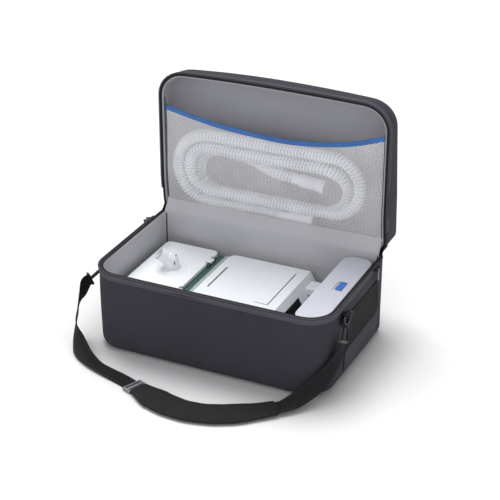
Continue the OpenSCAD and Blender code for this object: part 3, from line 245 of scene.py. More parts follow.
def material(name, colour, rough, vary, bump, metal=0, patch=40, weave=0, ribs=0, grain=0.5, sheen=0,
             coat=0, clear=0, specular=0.5):
    """Procedural material: colour and roughness that vary softly, and a weave, ribs or a grain.

    The patches of colour and the pitch of the relief are in millimetres.
    """
    m = bpy.data.materials.new(name)
    m.use_nodes = True
    tree = m.node_tree
    base = rgb(colour)
    where = add_node(tree, "TexCoord").outputs
    clouds = add_node(tree, "TexNoise", Vector=where["Object"], Scale=1 / (patch * MM), Detail=3)
    ramp = add_node(tree, "ValToRGB", Fac=clouds.outputs["Fac"])
    for stop, place, share in zip(ramp.color_ramp.elements, (0.3, 0.7), (1 - vary, 1 + vary)):
        stop.position = place
        stop.color = [min(1, c * share) for c in base] + [1]
    tone = ramp.outputs["Color"]
    spread = add_node(tree, "MapRange", Value=clouds.outputs["Fac"], To_Min=max(0.03, rough * 0.85),
                      To_Max=min(1, rough * 1.15))
    if weave:
        cloth = add_node(tree, "Group")
        cloth.node_tree = WEAVE
        for socket, value in zip(cloth.inputs, (where["Object"], where["Normal"], pi / (weave * MM))):
            feed(tree, socket, value)
        height, depth = cloth.outputs["Height"], weave * 0.2
        # Painted shade in the weave's hollows and painted light on its threads.
        tone = shaded(tree, tone, height, -1, 0.82, 1.18)
    elif ribs:
        wave = add_node(tree, "TexWave", Vector=where["UV"], Scale=pi / (ribs * MM * UV_SCALE),
                        Distortion=0.6, Detail=1)
        wave.bands_direction = "Y"
        height, depth = wave.outputs["Fac"], ribs * 0.35
        # Painted shade in the valleys between the ribs and painted light on their crests.
        tone = shaded(tree, tone, height, 0, 0.7, 1.25)
    else:
        specks = add_node(tree, "TexNoise", Vector=where["Object"], Scale=1 / (grain * MM), Detail=2)
        height, depth = specks.outputs["Fac"], grain * 0.3
    relief = add_node(tree, "Bump", Strength=bump, Distance=depth * MM, Height=height)
    for socket, value in (("Base Color", tone), ("Roughness", spread.outputs["Result"]),
                          ("Metallic", metal), ("Specular IOR Level", specular), ("Sheen Weight", sheen),
                          ("Sheen Roughness", 0.5), ("Coat Weight", coat), ("Coat Roughness", 0.12),
                          ("Transmission Weight", clear), ("Normal", relief.outputs["Normal"])):
        feed(tree, tree.nodes["Principled BSDF"].inputs[socket], value)
    return m



def rows_of(table):
    """The words of each row of a table, and the numbers that it names."""
    for row in table.strip().split("\n"):
        words = row.split()
        pairs = [word.split("=") for word in words if "=" in word]
        yield words[: len(words) - len(pairs)], {name: float(value) for name, value in pairs}


# Key, name, colour, roughness, variation and strength of relief of each material, and what else it has

# The box's grey is partly its own colour and partly painted shade from the open lid.
# The grey mouth colour is painted shade inside the mouths of the cuffs and the elbow.
# The groove colour is painted shade in the grooves, lines and slots of the machine.
# The hose's darker valley colour is painted shade in the valleys between its ribs.
# The lid's lining colour is a darker copy of the case lining: painted shade of the open lid.
# The near-black recess cloth is painted shade: the shadow under the rim on the right side.
LOOKS = """
case case_cloth 323239 0.8 0.1 0.4 patch=90 weave=0.8 specular=0.2
side side_cloth 3e3d43 0.8 0.08 0.4 patch=70 weave=0.8 specular=0.2
recess recess_cloth 1f1e1f 0.85 0.1 0.7 weave=1.3 specular=0.2
flap flap_cloth 4a4a53 0.75 0.06 0.4 weave=0.8 specular=0.25
binding binding_tape 121214 0.75 0.1 0.4 weave=0.6 specular=0.25
lining lining_cloth b6b6ba 0.8 0.05 0.25 patch=80 weave=0.7 sheen=0.1
lid_lining lid_lining_cloth 97979d 0.8 0.05 0.25 patch=80 weave=0.7 sheen=0.1
seam seam_tape 3c4246 0.8 0.1 0.4 weave=0.6
felt floor_felt 8c8e93 0.95 0.12 0.5 patch=8 grain=0.9 sheen=0.3
web webbing 1a1a1c 0.75 0.12 0.6 patch=12 ribs=1.4 specular=0.2
pad pad_cloth 1a1a1c 0.8 0.12 0.5 patch=30 weave=1.1 specular=0.2
thread thread 3a3a3e 0.7 0.1 0.3 grain=0.4
teeth zip_teeth 121214 0.4 0.1 0.1
net net_thread f4f4f8 0.6 0.08 0.2 grain=0.4 sheen=0.1
trim elastic_trim 2d62a4 0.6 0.1 0.5 patch=30 ribs=1.2 sheen=0.1
steel bright_steel c9cacd 0.22 0.04 0.03 metal=1
dull_steel dull_steel 7d7e82 0.42 0.06 0.05 metal=0.6
dark_steel dark_steel 3b3c40 0.3 0.04 0.03 metal=0.8
black_plastic black_plastic 131315 0.35 0.08 0.08 grain=0.6
hose hose_plastic f6f7fa 0.35 0.03 0.03 patch=60 grain=0.8 coat=0.2
valley hose_valley c0c3ca 0.45 0.03 0.03 grain=0.6
cuff cuff_rubber f0f1f5 0.5 0.03 0.06
mouth mouth_rubber 9fa2a8 0.55 0.04 0.06
white white_shell eceef1 0.32 0.015 0.05 patch=60 coat=0.15
box box_shell bdbec7 0.38 0.015 0.05 patch=60 coat=0.1
groove groove_shadow 53585c 0.6 0.1 0.1 grain=0.6
tank tank_plastic 2f5b56 0.12 0.05 0.03 patch=50 grain=0.8 coat=0.5 clear=0.35
mint mint_plastic c8dcd8 0.25 0.04 0.03 grain=0.8 coat=0.3 clear=0.15
rubber foot_rubber 1d1d1f 0.8 0.08 0.2
foam open_foam 3c3d42 0.95 0.2 0.9 patch=4 grain=1.2
filter filter_fibre d8d8cf 0.95 0.1 0.8 patch=3 grain=0.7 sheen=0.2
inner inner_plastic 4d5054 0.5 0.05 0.1 grain=0.6
motor motor_steel 9b9c9f 0.35 0.05 0.05 metal=1 grain=0.4
impeller impeller_plastic d9dbdf 0.4 0.03 0.05 grain=0.6
board circuit_board 1c5a35 0.4 0.15 0.1 patch=5 grain=0.7 coat=0.3
lcd lcd_frame 262d35 0.4 0.05 0.05 grain=0.6
glass window_glass 14181c 0.08 0.03 0.01 grain=2 coat=1
dial dial_metal c3c6cb 0.3 0.04 0.05 metal=0.7 grain=0.4
green start_button 5aa673 0.4 0.04 0.06
grey ramp_button bcc2cb 0.4 0.04 0.06
aluminium plate_aluminium c4c5c8 0.35 0.05 0.06 metal=1 patch=6
seal silicone_seal b9c0c4 0.5 0.04 0.05 grain=0.6
latch latch_plastic 2f62b5 0.35 0.04 0.05 coat=0.2
"""
M = {}
for (key, name, colour, *amounts), options in rows_of(LOOKS):
    M[key] = material(name, colour, *map(float, amounts), **options)

# Mesh helpers


def piece(name, shape, body, look, replaces=None, uv=None, sharp=60):
    """Makes a mesh from a shape's points and faces and lets it ride on a body, if one is named."""
    verts, faces = shape
    mesh = bpy.data.meshes.new(name)
    mesh.from_pydata((array(verts) * MM).tolist(), [], [list(f) for f in faces])
    if uv is not None:
        layer = mesh.uv_layers.new(name="flat")
        flat = array(uv)[[v for f in faces for v in f]] * MM * UV_SCALE
        layer.data.foreach_set("uv", flat.ravel())
    mesh.validate()
    mesh.polygons.foreach_set("use_smooth", [True] * len(mesh.polygons))
    mesh.set_sharp_from_angle(angle=radians(sharp))
    mesh.materials.append(M[look])
    obj = placed(name, mesh)
    if body:
        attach(obj, body)
    if replaces:
        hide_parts(replaces)
    return obj


def outline(corners, nx=44, ny=28, nc=9):
    """Four corners, each given as centre, radius and share, and the straight sides between.

    Returns points, outward normals, how far each point lies from the corners, and shares.
    """
    rows = []
    for i, first in enumerate((-90, 0, 90, 180)):
        x, y, r, share = corners[i]
        for k in range(nc + 1):
            a = radians(first + 90 * k / nc)
            out_x, out_y = cos(a), sin(a)
            rows.append((x + r * out_x, y + r * out_y, out_x, out_y, 0, share))
        near_x, near_y = rows[-1][:2]
        x, y, r, next_share = corners[(i + 1) % 4]
        count = nx if i % 2 else ny
        for k in range(1, count):
            f = k / count
            rows.append((near_x + (x + r * out_x - near_x) * f, near_y + (y + r * out_y - near_y) * f,
                         out_x, out_y, sin(pi * f), share + (next_share - share) * f))
    rows = array(rows)
    return rows[:, :2], rows[:, 2:4], rows[:, 4], rows[:, 5]


def rounded(hx, hy, r, nx, ny, nc):
    """Points of a rounded rectangle."""
    return outline([(sx * (hx - r), sy * (hy - r), r, 0) for sx, sy in CORNERS], nx, ny, nc)[0]


def plan(inset, at_back=None):
    """The case's plan drawn in by an amount that may differ at the back, and shares from there."""
    corners = []
    for sx, sy in CORNERS:
        gap = inset if sy < 0 or at_back is None else at_back
        r = max((CORNER if sy < 0 else BACK) - gap, 1.0)
        corners.append((sx * (HX - gap - r), sy * (HY - gap - r), r, (sy + 1) / 2))
    return outline(corners)


def plan_ring(inset, z):
    return raised(plan(inset)[0], z)


def loft(rings, closed=True, caps=True):
    """Points and faces over rings that all have the same number of points."""
    m, count = len(rings[0]), len(rings)
    faces = []
    for i in range(count - 1):
        for k in range(m if closed else m - 1):
            a, b = i * m + k, i * m + (k + 1) % m
            faces.append((a, b, b + m, a + m))
    if caps:
        faces.append(tuple(range(m - 1, -1, -1)))
        faces.append(tuple(range((count - 1) * m, count * m)))
    return np.concatenate(rings), faces


def tub(profile, swell, slack, size, seed):
    """Soft box. Each row of its profile is inset, height, share of the swell, and where the back
    differs its inset and height there."""
    rings = []
    for inset, z, part, *back in profile:
        p, n, flat, share = plan(inset, back[0] if back else None)
        ring = raised(p, z + ((back[1] if back else z) - z) * share)
        wall = swell * flat[:, None] ** 0.7 + slack * folds(ring, size, seed)[:, None]
        rings.append(ring + raised(n, 0) * wall * part)
    return loft(rings)


def tube(line, r, sides):
    """Round tube along a line of points."""
    p = array(line)
    t = unit(np.gradient(p, axis=0))
    up = array((0, 0, 1) if abs(t[0][2]) < 0.9 else (0, 1, 0))
    rings = []
    for q, way in zip(p, t):
        side = unit(np.cross(way, up))
        up = np.cross(side, way)
        rings.append(ring_about(q, r, side, up, sides))
    return loft(rings)


def join(shapes):
    """One shape out of several."""
    verts, faces, base = [], [], 0
    for v, f in shapes:
        verts.append(array(v))
        faces += [tuple(i + base for i in face) for face in f]
        base += len(v)
    return np.concatenate(verts), faces


def block(low, high, turn=None, chamfer=0.0):
    """Box, with its edges taken off if asked, turned by a matrix about its own middle."""
    low, high = array(low), array(high)
    mid, half = (low + high) / 2, (high - low) / 2
    c = min(chamfer, *(half * 0.9)) if chamfer else 0
    top = half[2]
    rings = []
    for z, inset in [(-top, c), (c - top, 0), (top - c, 0), (top, c)] if c else [(-top, 0), (top, 0)]:
        x, y = half[0] - inset, half[1] - inset
        ring = [(x, -y), (x, y), (-x, y), (-x, -y)]
        if c:
            ring = [(x - c, -y), (x, c - y), (x, y - c), (x - c, y),
                    (c - x, y), (-x, y - c), (-x, c - y), (c - x, -y)]
        rings.append(raised(ring, z))
    v, f = loft(rings)
    if turn is not None:
        v = v @ array(turn).T
    return v + mid, f


def stitches(line, normals, pitch=3.2, length=2.2, r=0.32):
    """Row of short threads that lie along a line, half sunk in the cloth."""
    rows = np.hstack([line, normals])
    steps = reach(rows[:, :3])
    parts = []
    for k in range(int(steps[-1] / pitch)):
        path = []
        for f, lift in ((0, -0.1), (0.5, 0.9 * r), (1, -0.1)):
            row = at_reach(k * pitch + 0.4 + length * f, steps, rows)
            path.append(row[:3] + row[3:] * lift)
        parts.append(tube(path, r, 5))
    return join(parts)


def soft_line(points, count=6):
    """Smooth line through a few points."""
    p = array(points)
    out = []
    for i in range(len(p) - 1):
        a, b, c, d = p[max(i - 1, 0)], p[i], p[i + 1], p[min(i + 2, len(p) - 1)]
        for k in range(count):
            t = k / count
            out.append(b + (c - a) * t / 2 + (2 * a - 5 * b + 4 * c - d) * t**2 / 2
                       + (3 * b - 3 * c + d - a) * t**3 / 2)
    out.append(p[-1])
    return array(out)


def both_faces(low):
    """Section of a flat strap from the rows of its lower face."""
    return low + [(-a, -b) for a, b in low]


def flat_normals(p):
    """Directions square to a flat line at each of its points."""
    way = unit(np.gradient(p, axis=0))
    return np.column_stack([-way[:, 1], way[:, 0]])


# Hose: runs and half turns in two layers in the lid, between its two cuffs

HOSE_R, RIB, RIB_PITCH, BORE_R = 11.0, 2.4, 6.0, 7.8
PLAIN_END = 12.0
HOSE_STEP, HOSE_SIDES, BORE_SKIP, CUFF_SIDES = 1.0, 16, 12, 32
LAYER = 23.0
DEEP = LAYER / 2
NEAR = DEEP + LAYER
V_LOW, V_TOP = 20.0, 147.0
V_LOW2, V_TOP2 = V_LOW + LAYER, V_TOP - LAYER
V_BACK = (V_LOW + V_LOW2) / 2 + 0.5
TILT = 6.0
TILT_COS, TILT_SIN = cos(radians(TILT)), sin(radians(TILT))
TAIL_V = V_TOP2 - LAYER / 2 - 0.5
R_TAIL = (TAIL_V - V_BACK) / (1 + TILT_COS)
R_CROSS = (V_TOP2 - V_BACK) / 2
R_INNER = (V_TOP2 - V_LOW2) / 2
R_RIGHT = (V_TOP - V_LOW2) / 2
R_LEFT = (V_TOP - V_LOW) / 2
U_LEFT = 5.5 + HOSE_R + R_LEFT - IN_X
U_RIGHT = IN_X - 37 - HOSE_R - R_RIGHT
U_BACK = U_LEFT + 12
U_CROSS = U_RIGHT - 25
TAIL, END_RUN = 160.0, 150.0
HOSE_START = array([U_BACK + TAIL * TILT_COS, TAIL_V - TAIL * TILT_SIN])

# Length or radius of each stretch, the angle that it turns, and its depth at the end

STRETCHES = [
    (0.2 * TAIL, 0, NEAR), (0.5 * TAIL, 0, DEEP), (0.3 * TAIL, 0, DEEP), (R_TAIL, 180 + TILT, DEEP),
    (U_CROSS - U_BACK + R_TAIL * TILT_SIN, 0, DEEP),
    (R_CROSS, 90, DEEP), (R_CROSS, 90, NEAR), (U_CROSS - U_LEFT, 0, NEAR), (R_INNER, 180, NEAR),
    (U_RIGHT - U_LEFT, 0, NEAR), (R_RIGHT, 180, NEAR), (U_RIGHT - U_LEFT, 0, NEAR),
    (R_LEFT, 180, NEAR), (END_RUN, 0, NEAR),
]
CUFF = [(0, 8.0), (0, 10.6), (2, 11.3), (10, 11.7), (12, 11.4), (36, 11.2), (39, 11.5),
        (40.5, 12.4), (47, 12.5), (48, 12.0), (48, 11.0)]
CUFF_MOUTH = [(48, 11.0), (46, 10.8), (26, 10.6), (24, 7.6), (6, 7.6), (0, 8.0)]


def along(spot, heading, size, turn, f):
    """Place at a share of a straight stretch, or of a bend with a radius and an angle."""
    h, g = radians(heading), radians(heading + turn * f)
    if turn:
        return spot + size * array([sin(g) - sin(h), cos(h) - cos(g)])
    return spot + size * f * array([cos(h), sin(h)])


def hose_line():
    """Middle line of the hose, and its length, heading and place at the far end."""
    spot, heading, depth, points, total = HOSE_START, 180 - TILT, NEAR, [], 0.0
    for size, turn, deep in STRETCHES:
        length = size * radians(turn) if turn else size
        count = max(2, round(length / HOSE_STEP))
        for k in range(count):
            f = k / count
            points.append(on_panel(*along(spot, heading, size, turn, f),
                                   depth + (deep - depth) * smooth_step(f)))
        spot = along(spot, heading, size, turn, 1)
        heading, depth, total = heading + turn, deep, total + length
    points.append(on_panel(*spot, depth))
    return array(points), total, heading, spot


def cuff_pieces(spot, angle, which):
    """A cuff on one end of the hose, and the darker inside of its mouth: painted shade."""
    h = radians(angle)
    way = array([cos(h), 0, sin(h)])
    across, out = np.cross(way, [0, 1, 0]), array([0, 1, 0])
    origin = on_panel(*spot, NEAR)
    made = []
    for section, look, tail, node in ((CUFF, "cuff", "", f"hose_cuff_{which}"),
                                      (CUFF_MOUTH, "mouth", "_mouth", None)):
        rings = [ring_about(origin + way * x, r, across, out, CUFF_SIDES) for x, r in section]
        made.append(piece(f"cuff_{which}{tail}", loft(rings, caps=False), "lid", look, node,
                          sharp=35))
    return made


def make_hose():
    line, total, heading, end = hose_line()
    t, d = unit(np.gradient(line, axis=0)), reach(line)
    side = unit(np.cross(t, [0, -1, 0]))
    up = np.cross(side, t)
    turn = np.arange(HOSE_SIDES) / HOSE_SIDES
    rings, low = [], []
    for i, spot in enumerate(line):
        phase = (d[i] / RIB_PITCH - turn) % 1.0
        ridge = np.clip(1.5 - 4.4 * np.abs(phase - 0.5), 0, 1)
        grown = smooth_step(min(d[i], total - d[i]) / PLAIN_END)
        r = HOSE_R - RIB + RIB * smooth_step(ridge) * grown
        rings.append(ring_about(spot, r[:, None], side[i], up[i], HOSE_SIDES))
        # Faces in the valleys between the ribs get the darker hose colour: painted shade.
        low += [int(x < 0.15 and PLAIN_END < d[i] < total - PLAIN_END) for x in ridge]
    bore = [ring_about(line[i], BORE_R, side[i], up[i], HOSE_SIDES)
            for i in [*range(len(line) - 1, -1, -BORE_SKIP), 0]]
    shape = loft(rings + bore + rings[:1], caps=False)
    hose = piece("breathing_hose", shape, "lid", "hose", "hose", sharp=80)
    # Second, darker hose material for the rib valleys: painted shade.
    hose.data.materials.append(M["valley"])
    looks = np.zeros(len(hose.data.polygons), dtype=int)
    looks[: len(low)] = low
    hose.data.polygons.foreach_set("material_index", looks)
    cuffs = cuff_pieces(HOSE_START, -TILT, "mask") + cuff_pieces(end, heading, "machine")


make_hose()

# Carry case: shell, lining, rims and zips of both halves

SHELL_IN, LINING_IN = 1.6, 7


def walls(z0, z1, count, inset):
    """Profile rows of a wall that swells between its ends."""
    return [(inset, z0 + (z1 - z0) * k / count, sin(pi * (0.06 + 0.88 * k / count)) ** 0.6)
            for k in range(count + 1)]


def rounded_edge(z0, flip, r, angles, gap=0, part=None):
    """Profile rows round an edge, whose radius differs at the back, or at a gap in from it."""
    return [(gap + (r - gap) * (1 - cos(a)), z0 + flip * (gap + (r - gap) * (1 - sin(a))),
             0.3 * cos(a) if part is None else part,
             gap + (EDGE - gap) * (1 - cos(a)), z0 + flip * (gap + (EDGE - gap) * (1 - sin(a))))
            for a in angles]


def lid_arc(gap):
    return rounded_edge(LID_TOP, -1, LID_EDGE, (0.3, 0.6, 0.9, 1.2, 1.5), gap, 0.2)


shell = ([(122, 1.6, 0), (80, 1.2, 0), (40, 0.8, 0), (24, 0.3, 0), (FRONT_EDGE, 0.05, 0, EDGE, 0.05)]
         + rounded_edge(0, 1, FRONT_EDGE, [pi / 12 * k for k in (5, 4, 3, 2, 1)])
         + walls(FRONT_EDGE, CASE_H - 2.4, 16, 0)
         + [(0.5, CASE_H - 2, 0.3), (SHELL_IN, CASE_H - 2.2, 0.3)]
         + [(SHELL_IN, z, 0) for z in (120, 60, 18)]
         + rounded_edge(0, 1, FRONT_EDGE, [pi / 12 * k for k in (1, 2, 3, 4, 5, 6)], SHELL_IN, 0)
         + [(24, 3, 0), (80, 3, 0), (122, 3, 0)])
piece("bag_shell", tub(shell, 2.0, 0.7, 150, 3), "case", "case", "case_shell")

lining = ([(9, 6.2, 0), (6, 14, 0), (6, 80, 0), (5.2, CASE_H - 4, 0), (5.2, CASE_H - 2.6, 0)]
          + [(5.8, CASE_H - 2.0, 0), (6.7, CASE_H - 2.1, 0.1), (7.2, CASE_H - 3.2, 0.2)]
          + walls(CASE_H - 6, 12, 14, LINING_IN)
          + [(8.5, 8.6, 0), (12, 7.4, 0), (40, 7.2, 0), (80, 7.2, 0), (118, 7.2, 0)])
piece("bag_lining", tub(lining, -0.8, 0.8, 130, 8), "case", "lining", "case_lining")


def felt_pad():
    """Thin padded sheet that fills the case's plan."""
    low, high, inset, edge, lift = 7.1, 10.0, 8.2, 1.4, 0.15
    rings = []
    for gap, z in ((edge, low), (0, low + 0.6), (0, high - 1.2), (edge, high - 0.2),
                   (12, high), (40, high), (80, high), (108, high)):
        ring = plan_ring(inset + gap, z)
        if z > high - 0.5:
            ring[:, 2] += lift * folds(ring, 60, 5) - 2 * lift
        rings.append(ring)
    return loft(rings)


piece("floor_felt", felt_pad(), "case", "felt", "floor_pad")


def rim(name, node, body, z, side, width):
    """Bound rim: a rounded tape folded over the outer edge of the wall."""
    rings = []
    for k in range(14):
        a = pi * k / 13
        rings.append(plan_ring((width - (width + 0.8) * cos(a)) / 2,
                               z + side * (2.4 * sin(a) ** 0.6 - 0.4)))
    for inset, drop in ((width + 0.3, -3.2), (width - 0.4, -3.2), (width - 0.6, 0),
                        (0.6, 0), (0.4, -3.2), (-0.4, -3.2)):
        rings.append(plan_ring(inset, z + side * drop))
    shape = in_place(loft(rings + rings[:1], caps=False), body)
    piece(name, shape, body, "binding", node, sharp=50)


rim("case_rim", "case_binding", "case", CASE_H - 2, 1, 6.2)
rim("lid_rim", "lid_binding", "lid", RIM_Z + 2, -1, 4.0)

lid_shell = ([(122, LID_TOP - 1.4, 0), (80, LID_TOP - 1.0, 0), (50, LID_TOP - 0.6, 0)]
             + [(LID_EDGE, LID_TOP, 0, 20, LID_TOP)]
             + rounded_edge(LID_TOP, -1, LID_EDGE, [pi / 16 * k for k in (7, 6, 5, 4, 3, 2, 1)])
             + [(0, LID_TOP - LID_EDGE, 1, 0, LID_TOP - EDGE), (0, 168, 1, 0, 182), (0, 160, 1, 0, 165)]
             + [(0, RIM_Z + 2.4, 0.5), (0.5, RIM_Z + 2, 0.3), (1.6, RIM_Z + 2.2, 0.3), (2.5, 172, 0)]
             + lid_arc(3) + [(50, LID_TOP - 3, 0), (80, LID_TOP - 3, 0), (122, LID_TOP - 3, 0)])
piece("lid_outer", in_place(tub(lid_shell, 1.6, 0.7, 150, 11), "lid"), "lid", "case",
      "lid_shell")

lid_inside = (lid_arc(5)[::-1] + [(5, 172, 0), (4.6, RIM_Z + 3.8, 0), (4.4, RIM_Z + 1.2, 0)]
              + [(5.2, RIM_Z + 0.3, 0), (6.4, RIM_Z + 0.5, 0.1), (7.2, RIM_Z + 2.4, 0.2)]
              + walls(RIM_Z + 5, PANEL_Z - LID_EDGE + LINING_IN, 5, LINING_IN) + lid_arc(LINING_IN)
              + [(60, PANEL_Z, 0), (80, PANEL_Z, 0), (118, PANEL_Z, 0)])
# The lid's lining takes a darker copy of the lining colour: painted shade of the open lid.
piece("lid_inner", in_place(tub(lid_inside, -0.6, 0.5, 130, 14), "lid"), "lid", "lid_lining",
      "lid_lining")

for side, word in SIDES:
    line = [on_panel(side * (IN_X - 1.2), v, NET_W + 1.6) for v in range(14, 218, 6)]
    piece(f"lid_side_seam_{word}", tube(line, 1.3, 6), "lid", "seam")
    line = [(side * (IN_X - 3.2), IN_Y - 3.2, z) for z in range(13, 148, 5)]
    piece(f"case_corner_seam_{word}", tube(line, 1.4, 6), "case", "seam")

# Zip halves

TAPE = [(0.1, 0), (1.5, 0.6), (1.7, 1.4), (1.3, 3.2), (1.25, 9.6), (1.8, 10.3), (1.7, 11.3), (0.1, 11.5)]
TOOTH, TOOTH_PITCH, TOOTH_OUT, TOOTH_DROP = array([0.9, 0.75, 1.1]), 2.5, 1.9, 1.0
TAPE_SEAM_OUT, TAPE_SEAM_DROP = 1.35, 8.8


def zip_line():
    """Front and both sides of the case's plan, from the back left corner round the front."""
    p, n, _, _ = plan(0)
    end_y = HY - TAPE_STOP
    kept = p[:, 1] < end_y - 1
    start = next(i for i in range(len(p)) if kept[i] and not kept[i - 1])
    order = [(start + k) % len(p) for k in range(int(kept.sum()))]
    p = np.concatenate([[(-HX, end_y)], p[order], [(HX, end_y)]])
    n = np.concatenate([[(-1, 0)], n[order], [(1, 0)]])
    return p, n


def zip_half(name, node, body, z_edge, side, shift):
    """Cloth tape over the seam, a row of teeth along the edge and a row of stitches."""
    p, n = zip_line()
    rings = [raised(p + n * out, z_edge - side * drop) for out, drop in TAPE]
    shape = loft(list(np.stack(rings + rings[:1]).transpose(1, 0, 2)), closed=False)
    piece(name, in_place(shape, body), body, "flap", node, sharp=50)
    steps = reach(p)
    teeth = []
    for k in range(int(steps[-1] / TOOTH_PITCH)):
        d = TOOTH_PITCH * k + shift
        x, y = unit(at_reach(d, steps, n))
        mid = array([*at_reach(d, steps, p), z_edge - side * TOOTH_DROP]) + array([x, y, 0]) * TOOTH_OUT
        teeth.append(block(mid - TOOTH, mid + TOOTH, [[x, -y, 0], [y, x, 0], [0, 0, 1]], 0.3))
    piece(name + "_teeth", in_place(join(teeth), body), body, "teeth", sharp=30)
    line = raised(p + n * TAPE_SEAM_OUT, z_edge - side * TAPE_SEAM_DROP)
    seam = stitches(line, raised(n, 0))
    piece(name + "_stitches", in_place(seam, body), body, "thread", sharp=80)


zip_half("case_zip", "base_zip_tape", "case", CASE_H, 1, TOOTH_PITCH / 2)
zip_half("lid_zip", "lid_zip_tape", "lid", RIM_Z, -1, 0.0)

# Cloth over the hinge, inside and outside, and webs that close its corners


def cloth_strip(line, half_width, t, corner, wave=0.0, across=60):
    """Strip of cloth along x, whose section in the y-z plane follows the line given.

    Near its ends it follows the corners: its lower half goes forward and its upper half up.
    """
    p = array(line)
    normal = flat_normals(p)
    rise = smooth_step((p[:, 1] - 140) / 14)
    rings = []
    for i in range(across + 1):
        x = half_width * sin(pi * (i / across - 0.5))
        past = min(max(abs(x) - (HX - BACK), 0), corner)
        slide = corner - sqrt(corner**2 - past**2)
        ring = []
        for sign, order in ((1, range(len(p))), (-1, range(len(p) - 1, -1, -1))):
            for j in order:
                q = p[j] + normal[j] * sign * t / 2
                ring.append((x, q[0] - slide * (1 - rise[j]), q[1] + slide * rise[j]))
        ring = array(ring)
        if wave:
            ring[:, 1] += wave * folds(ring, 90, 6)
        rings.append(ring)
    return loft(rings)


fold = soft_line([(133.4, 121), (133.4, 132), (133.4, 141), (134.2, 145.4), (137.5, 146.5),
                  (146, 146.55), (160, 146.55)])
hinge = piece("hinge_cloth", cloth_strip(fold, HX - 4.5, 1.1, 16.0), None, "case",
              "hinge_strip")
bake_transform(hinge)

fold = soft_line([(125.0, 96), (124.9, 112), (124.6, 128), (124.5, 140), (125.0, 146.5), (127.4, 151.5),
                  (130.8, 157), (134.0, 162.5), (135.9, 168), (136.6, 171.5)])
v, f = cloth_strip(fold, IN_X - 0.8, 1.0, 9.0, wave=0.25)
v[:, 2] -= 2.5 * (1 - v[:, 0] / IN_X) * np.clip((v[:, 2] - 150) / 18, 0, 1)
inner_fold = piece("fold_lining", (v, f), None, "lining")
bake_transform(inner_fold)


def gusset(side):
    """Small cloth web that closes the corner between the case's rim and the open lid's rim."""
    inner = BACK - 2.5
    half = array([0, 0.35, -0.35])
    rings = []
    for turn in range(0, 84, 6):
        t = radians(turn)
        x = side * (HX - BACK + inner * cos(t))
        drop = BACK - inner * sin(t)
        low, high = array([x, HY - drop, CASE_H - 1.5]), array([x, HY + 1.2, HINGE_Z + drop])
        sag = array([0, 0.7, -0.7]) * 0.12 * drop
        line = [low + (high - low) * k / 6 + sag * sin(pi * k / 6) for k in range(7)]
        rings.append(array([q + half for q in line] + [q - half for q in line[::-1]]))
    verts, faces = loft(rings)
    return verts, faces if side < 0 else [face[::-1] for face in faces]


for side, word in SIDES:
    web = piece(f"hinge_gusset_{word}", gusset(side), None, "binding")
    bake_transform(web)

# Side pocket and a near-black band of painted shade above it on the right side, and the loops that hold the
# rings


def side_patch(name, y0, y1, z0, z1, r, t, look, node=None, lip=0.0):
    """Patch of cloth on the right side, domed a little between sewn edges."""
    cy, cz, hy, hz = (y0 + y1) / 2, (z0 + z1) / 2, (y1 - y0) / 2, (z1 - z0) / 2
    rings = []
    for inset, out in ((0, 0.1), (0, 1.2), (1.2, 1.9), (3.0, 1.8), (7, t * 0.9 + 0.6), (12, t + 0.6),
                       (hz - 2, t + 0.9)):
        y, z = rounded(hy - inset, hz - inset, max(r - inset, 1.0), 20, 10, 5).T
        x = HX + out + 1.6 * np.sin(np.pi * np.clip((z + cz - EDGE) / (CASE_H - EDGE), 0, 1)) ** 0.6
        ring = np.column_stack([x, y + cy, z + cz])
        ring[:, 0] += 0.25 * folds(ring, 45, 21)
        ring[:, 0] += lip * smooth_step((z + inset - hz + 9) / 9)
        rings.append(ring)
    return piece(name, loft(rings), "case", look, node)


# Near-black band under the rim: painted shade standing in for the shadow that the rim casts on the side.
side_patch("side_shadow_band", -44, 96, 56, 116, 6, 0.9, "recess")
side_patch("side_pocket_cloth", -51.5, 93.5, 13.5, 55, 8, 2.0, "side", "side_pocket", lip=0.8)

RING_Y, RING_Z = -62.0, 128.0
TAB_X, TAB_R = 9.0, 3.15
TAB_LOOP = ([(1.0, -15.5), (1.0, -8), (1.2, -2), (3.2, 1.6), (6.2, 2.9), (TAB_X, TAB_R)]
            + [(TAB_X + TAB_R * sin(a), TAB_R * cos(a)) for a in (0.5, 1.0, 1.57, 2.1, 2.6, 3.14)]
            + [(6, -3.3), (3.8, -5.2), (2.9, -8), (2.9, -15.5)])
TAB_SECTION = both_faces([(-9, -0.6), (-8.4, -0.8), (8.4, -0.8), (9, -0.6)])
for side, word in SIDES:
    p = soft_line(TAB_LOOP, 3)
    rings = []
    for q, n in zip(p, flat_normals(p)):
        rings.append(array([(side * (HX + q[0] + n[0] * t), RING_Y + w, RING_Z + q[1] + n[1] * t)
                            for w, t in TAB_SECTION]))
    piece(f"strap_tab_{word}", loft(rings), "case", "web",
          "strap_tabs" if side > 0 else None, sharp=50)

# Shoulder strap

WEB_W, WEB_T = 28.0, 2.0
LEFT_CORNER, RIGHT_CORNER = array([-HX, -HY, 0]), array([HX, -HY, 0])
WEB_Z = WEB_T / 2 + 0.5
RING_X, RING_DROP, HOOK_L, GAP = HX + TAB_X, 15.0, 30.0, 0.3
ADJUSTER_AT = LEFT_CORNER + array([129, -88, 0])
ADJUSTER_WAY = array([cos(radians(-23)), sin(radians(-23)), 0])
ADJUSTER_L = 18.0


def past_bar(side, turn, tip, d):
    """Point of the web at a distance past a hook's bar, for the turn and tip of its ring."""
    t, a = radians(turn), radians(tip)
    x = side * RING_X + side * (HOOK_L + d) * sin(a)
    z = -RING_DROP - (HOOK_L + d) * cos(a)
    return array([x, RING_Y + z * sin(t), RING_Z + z * cos(t)])


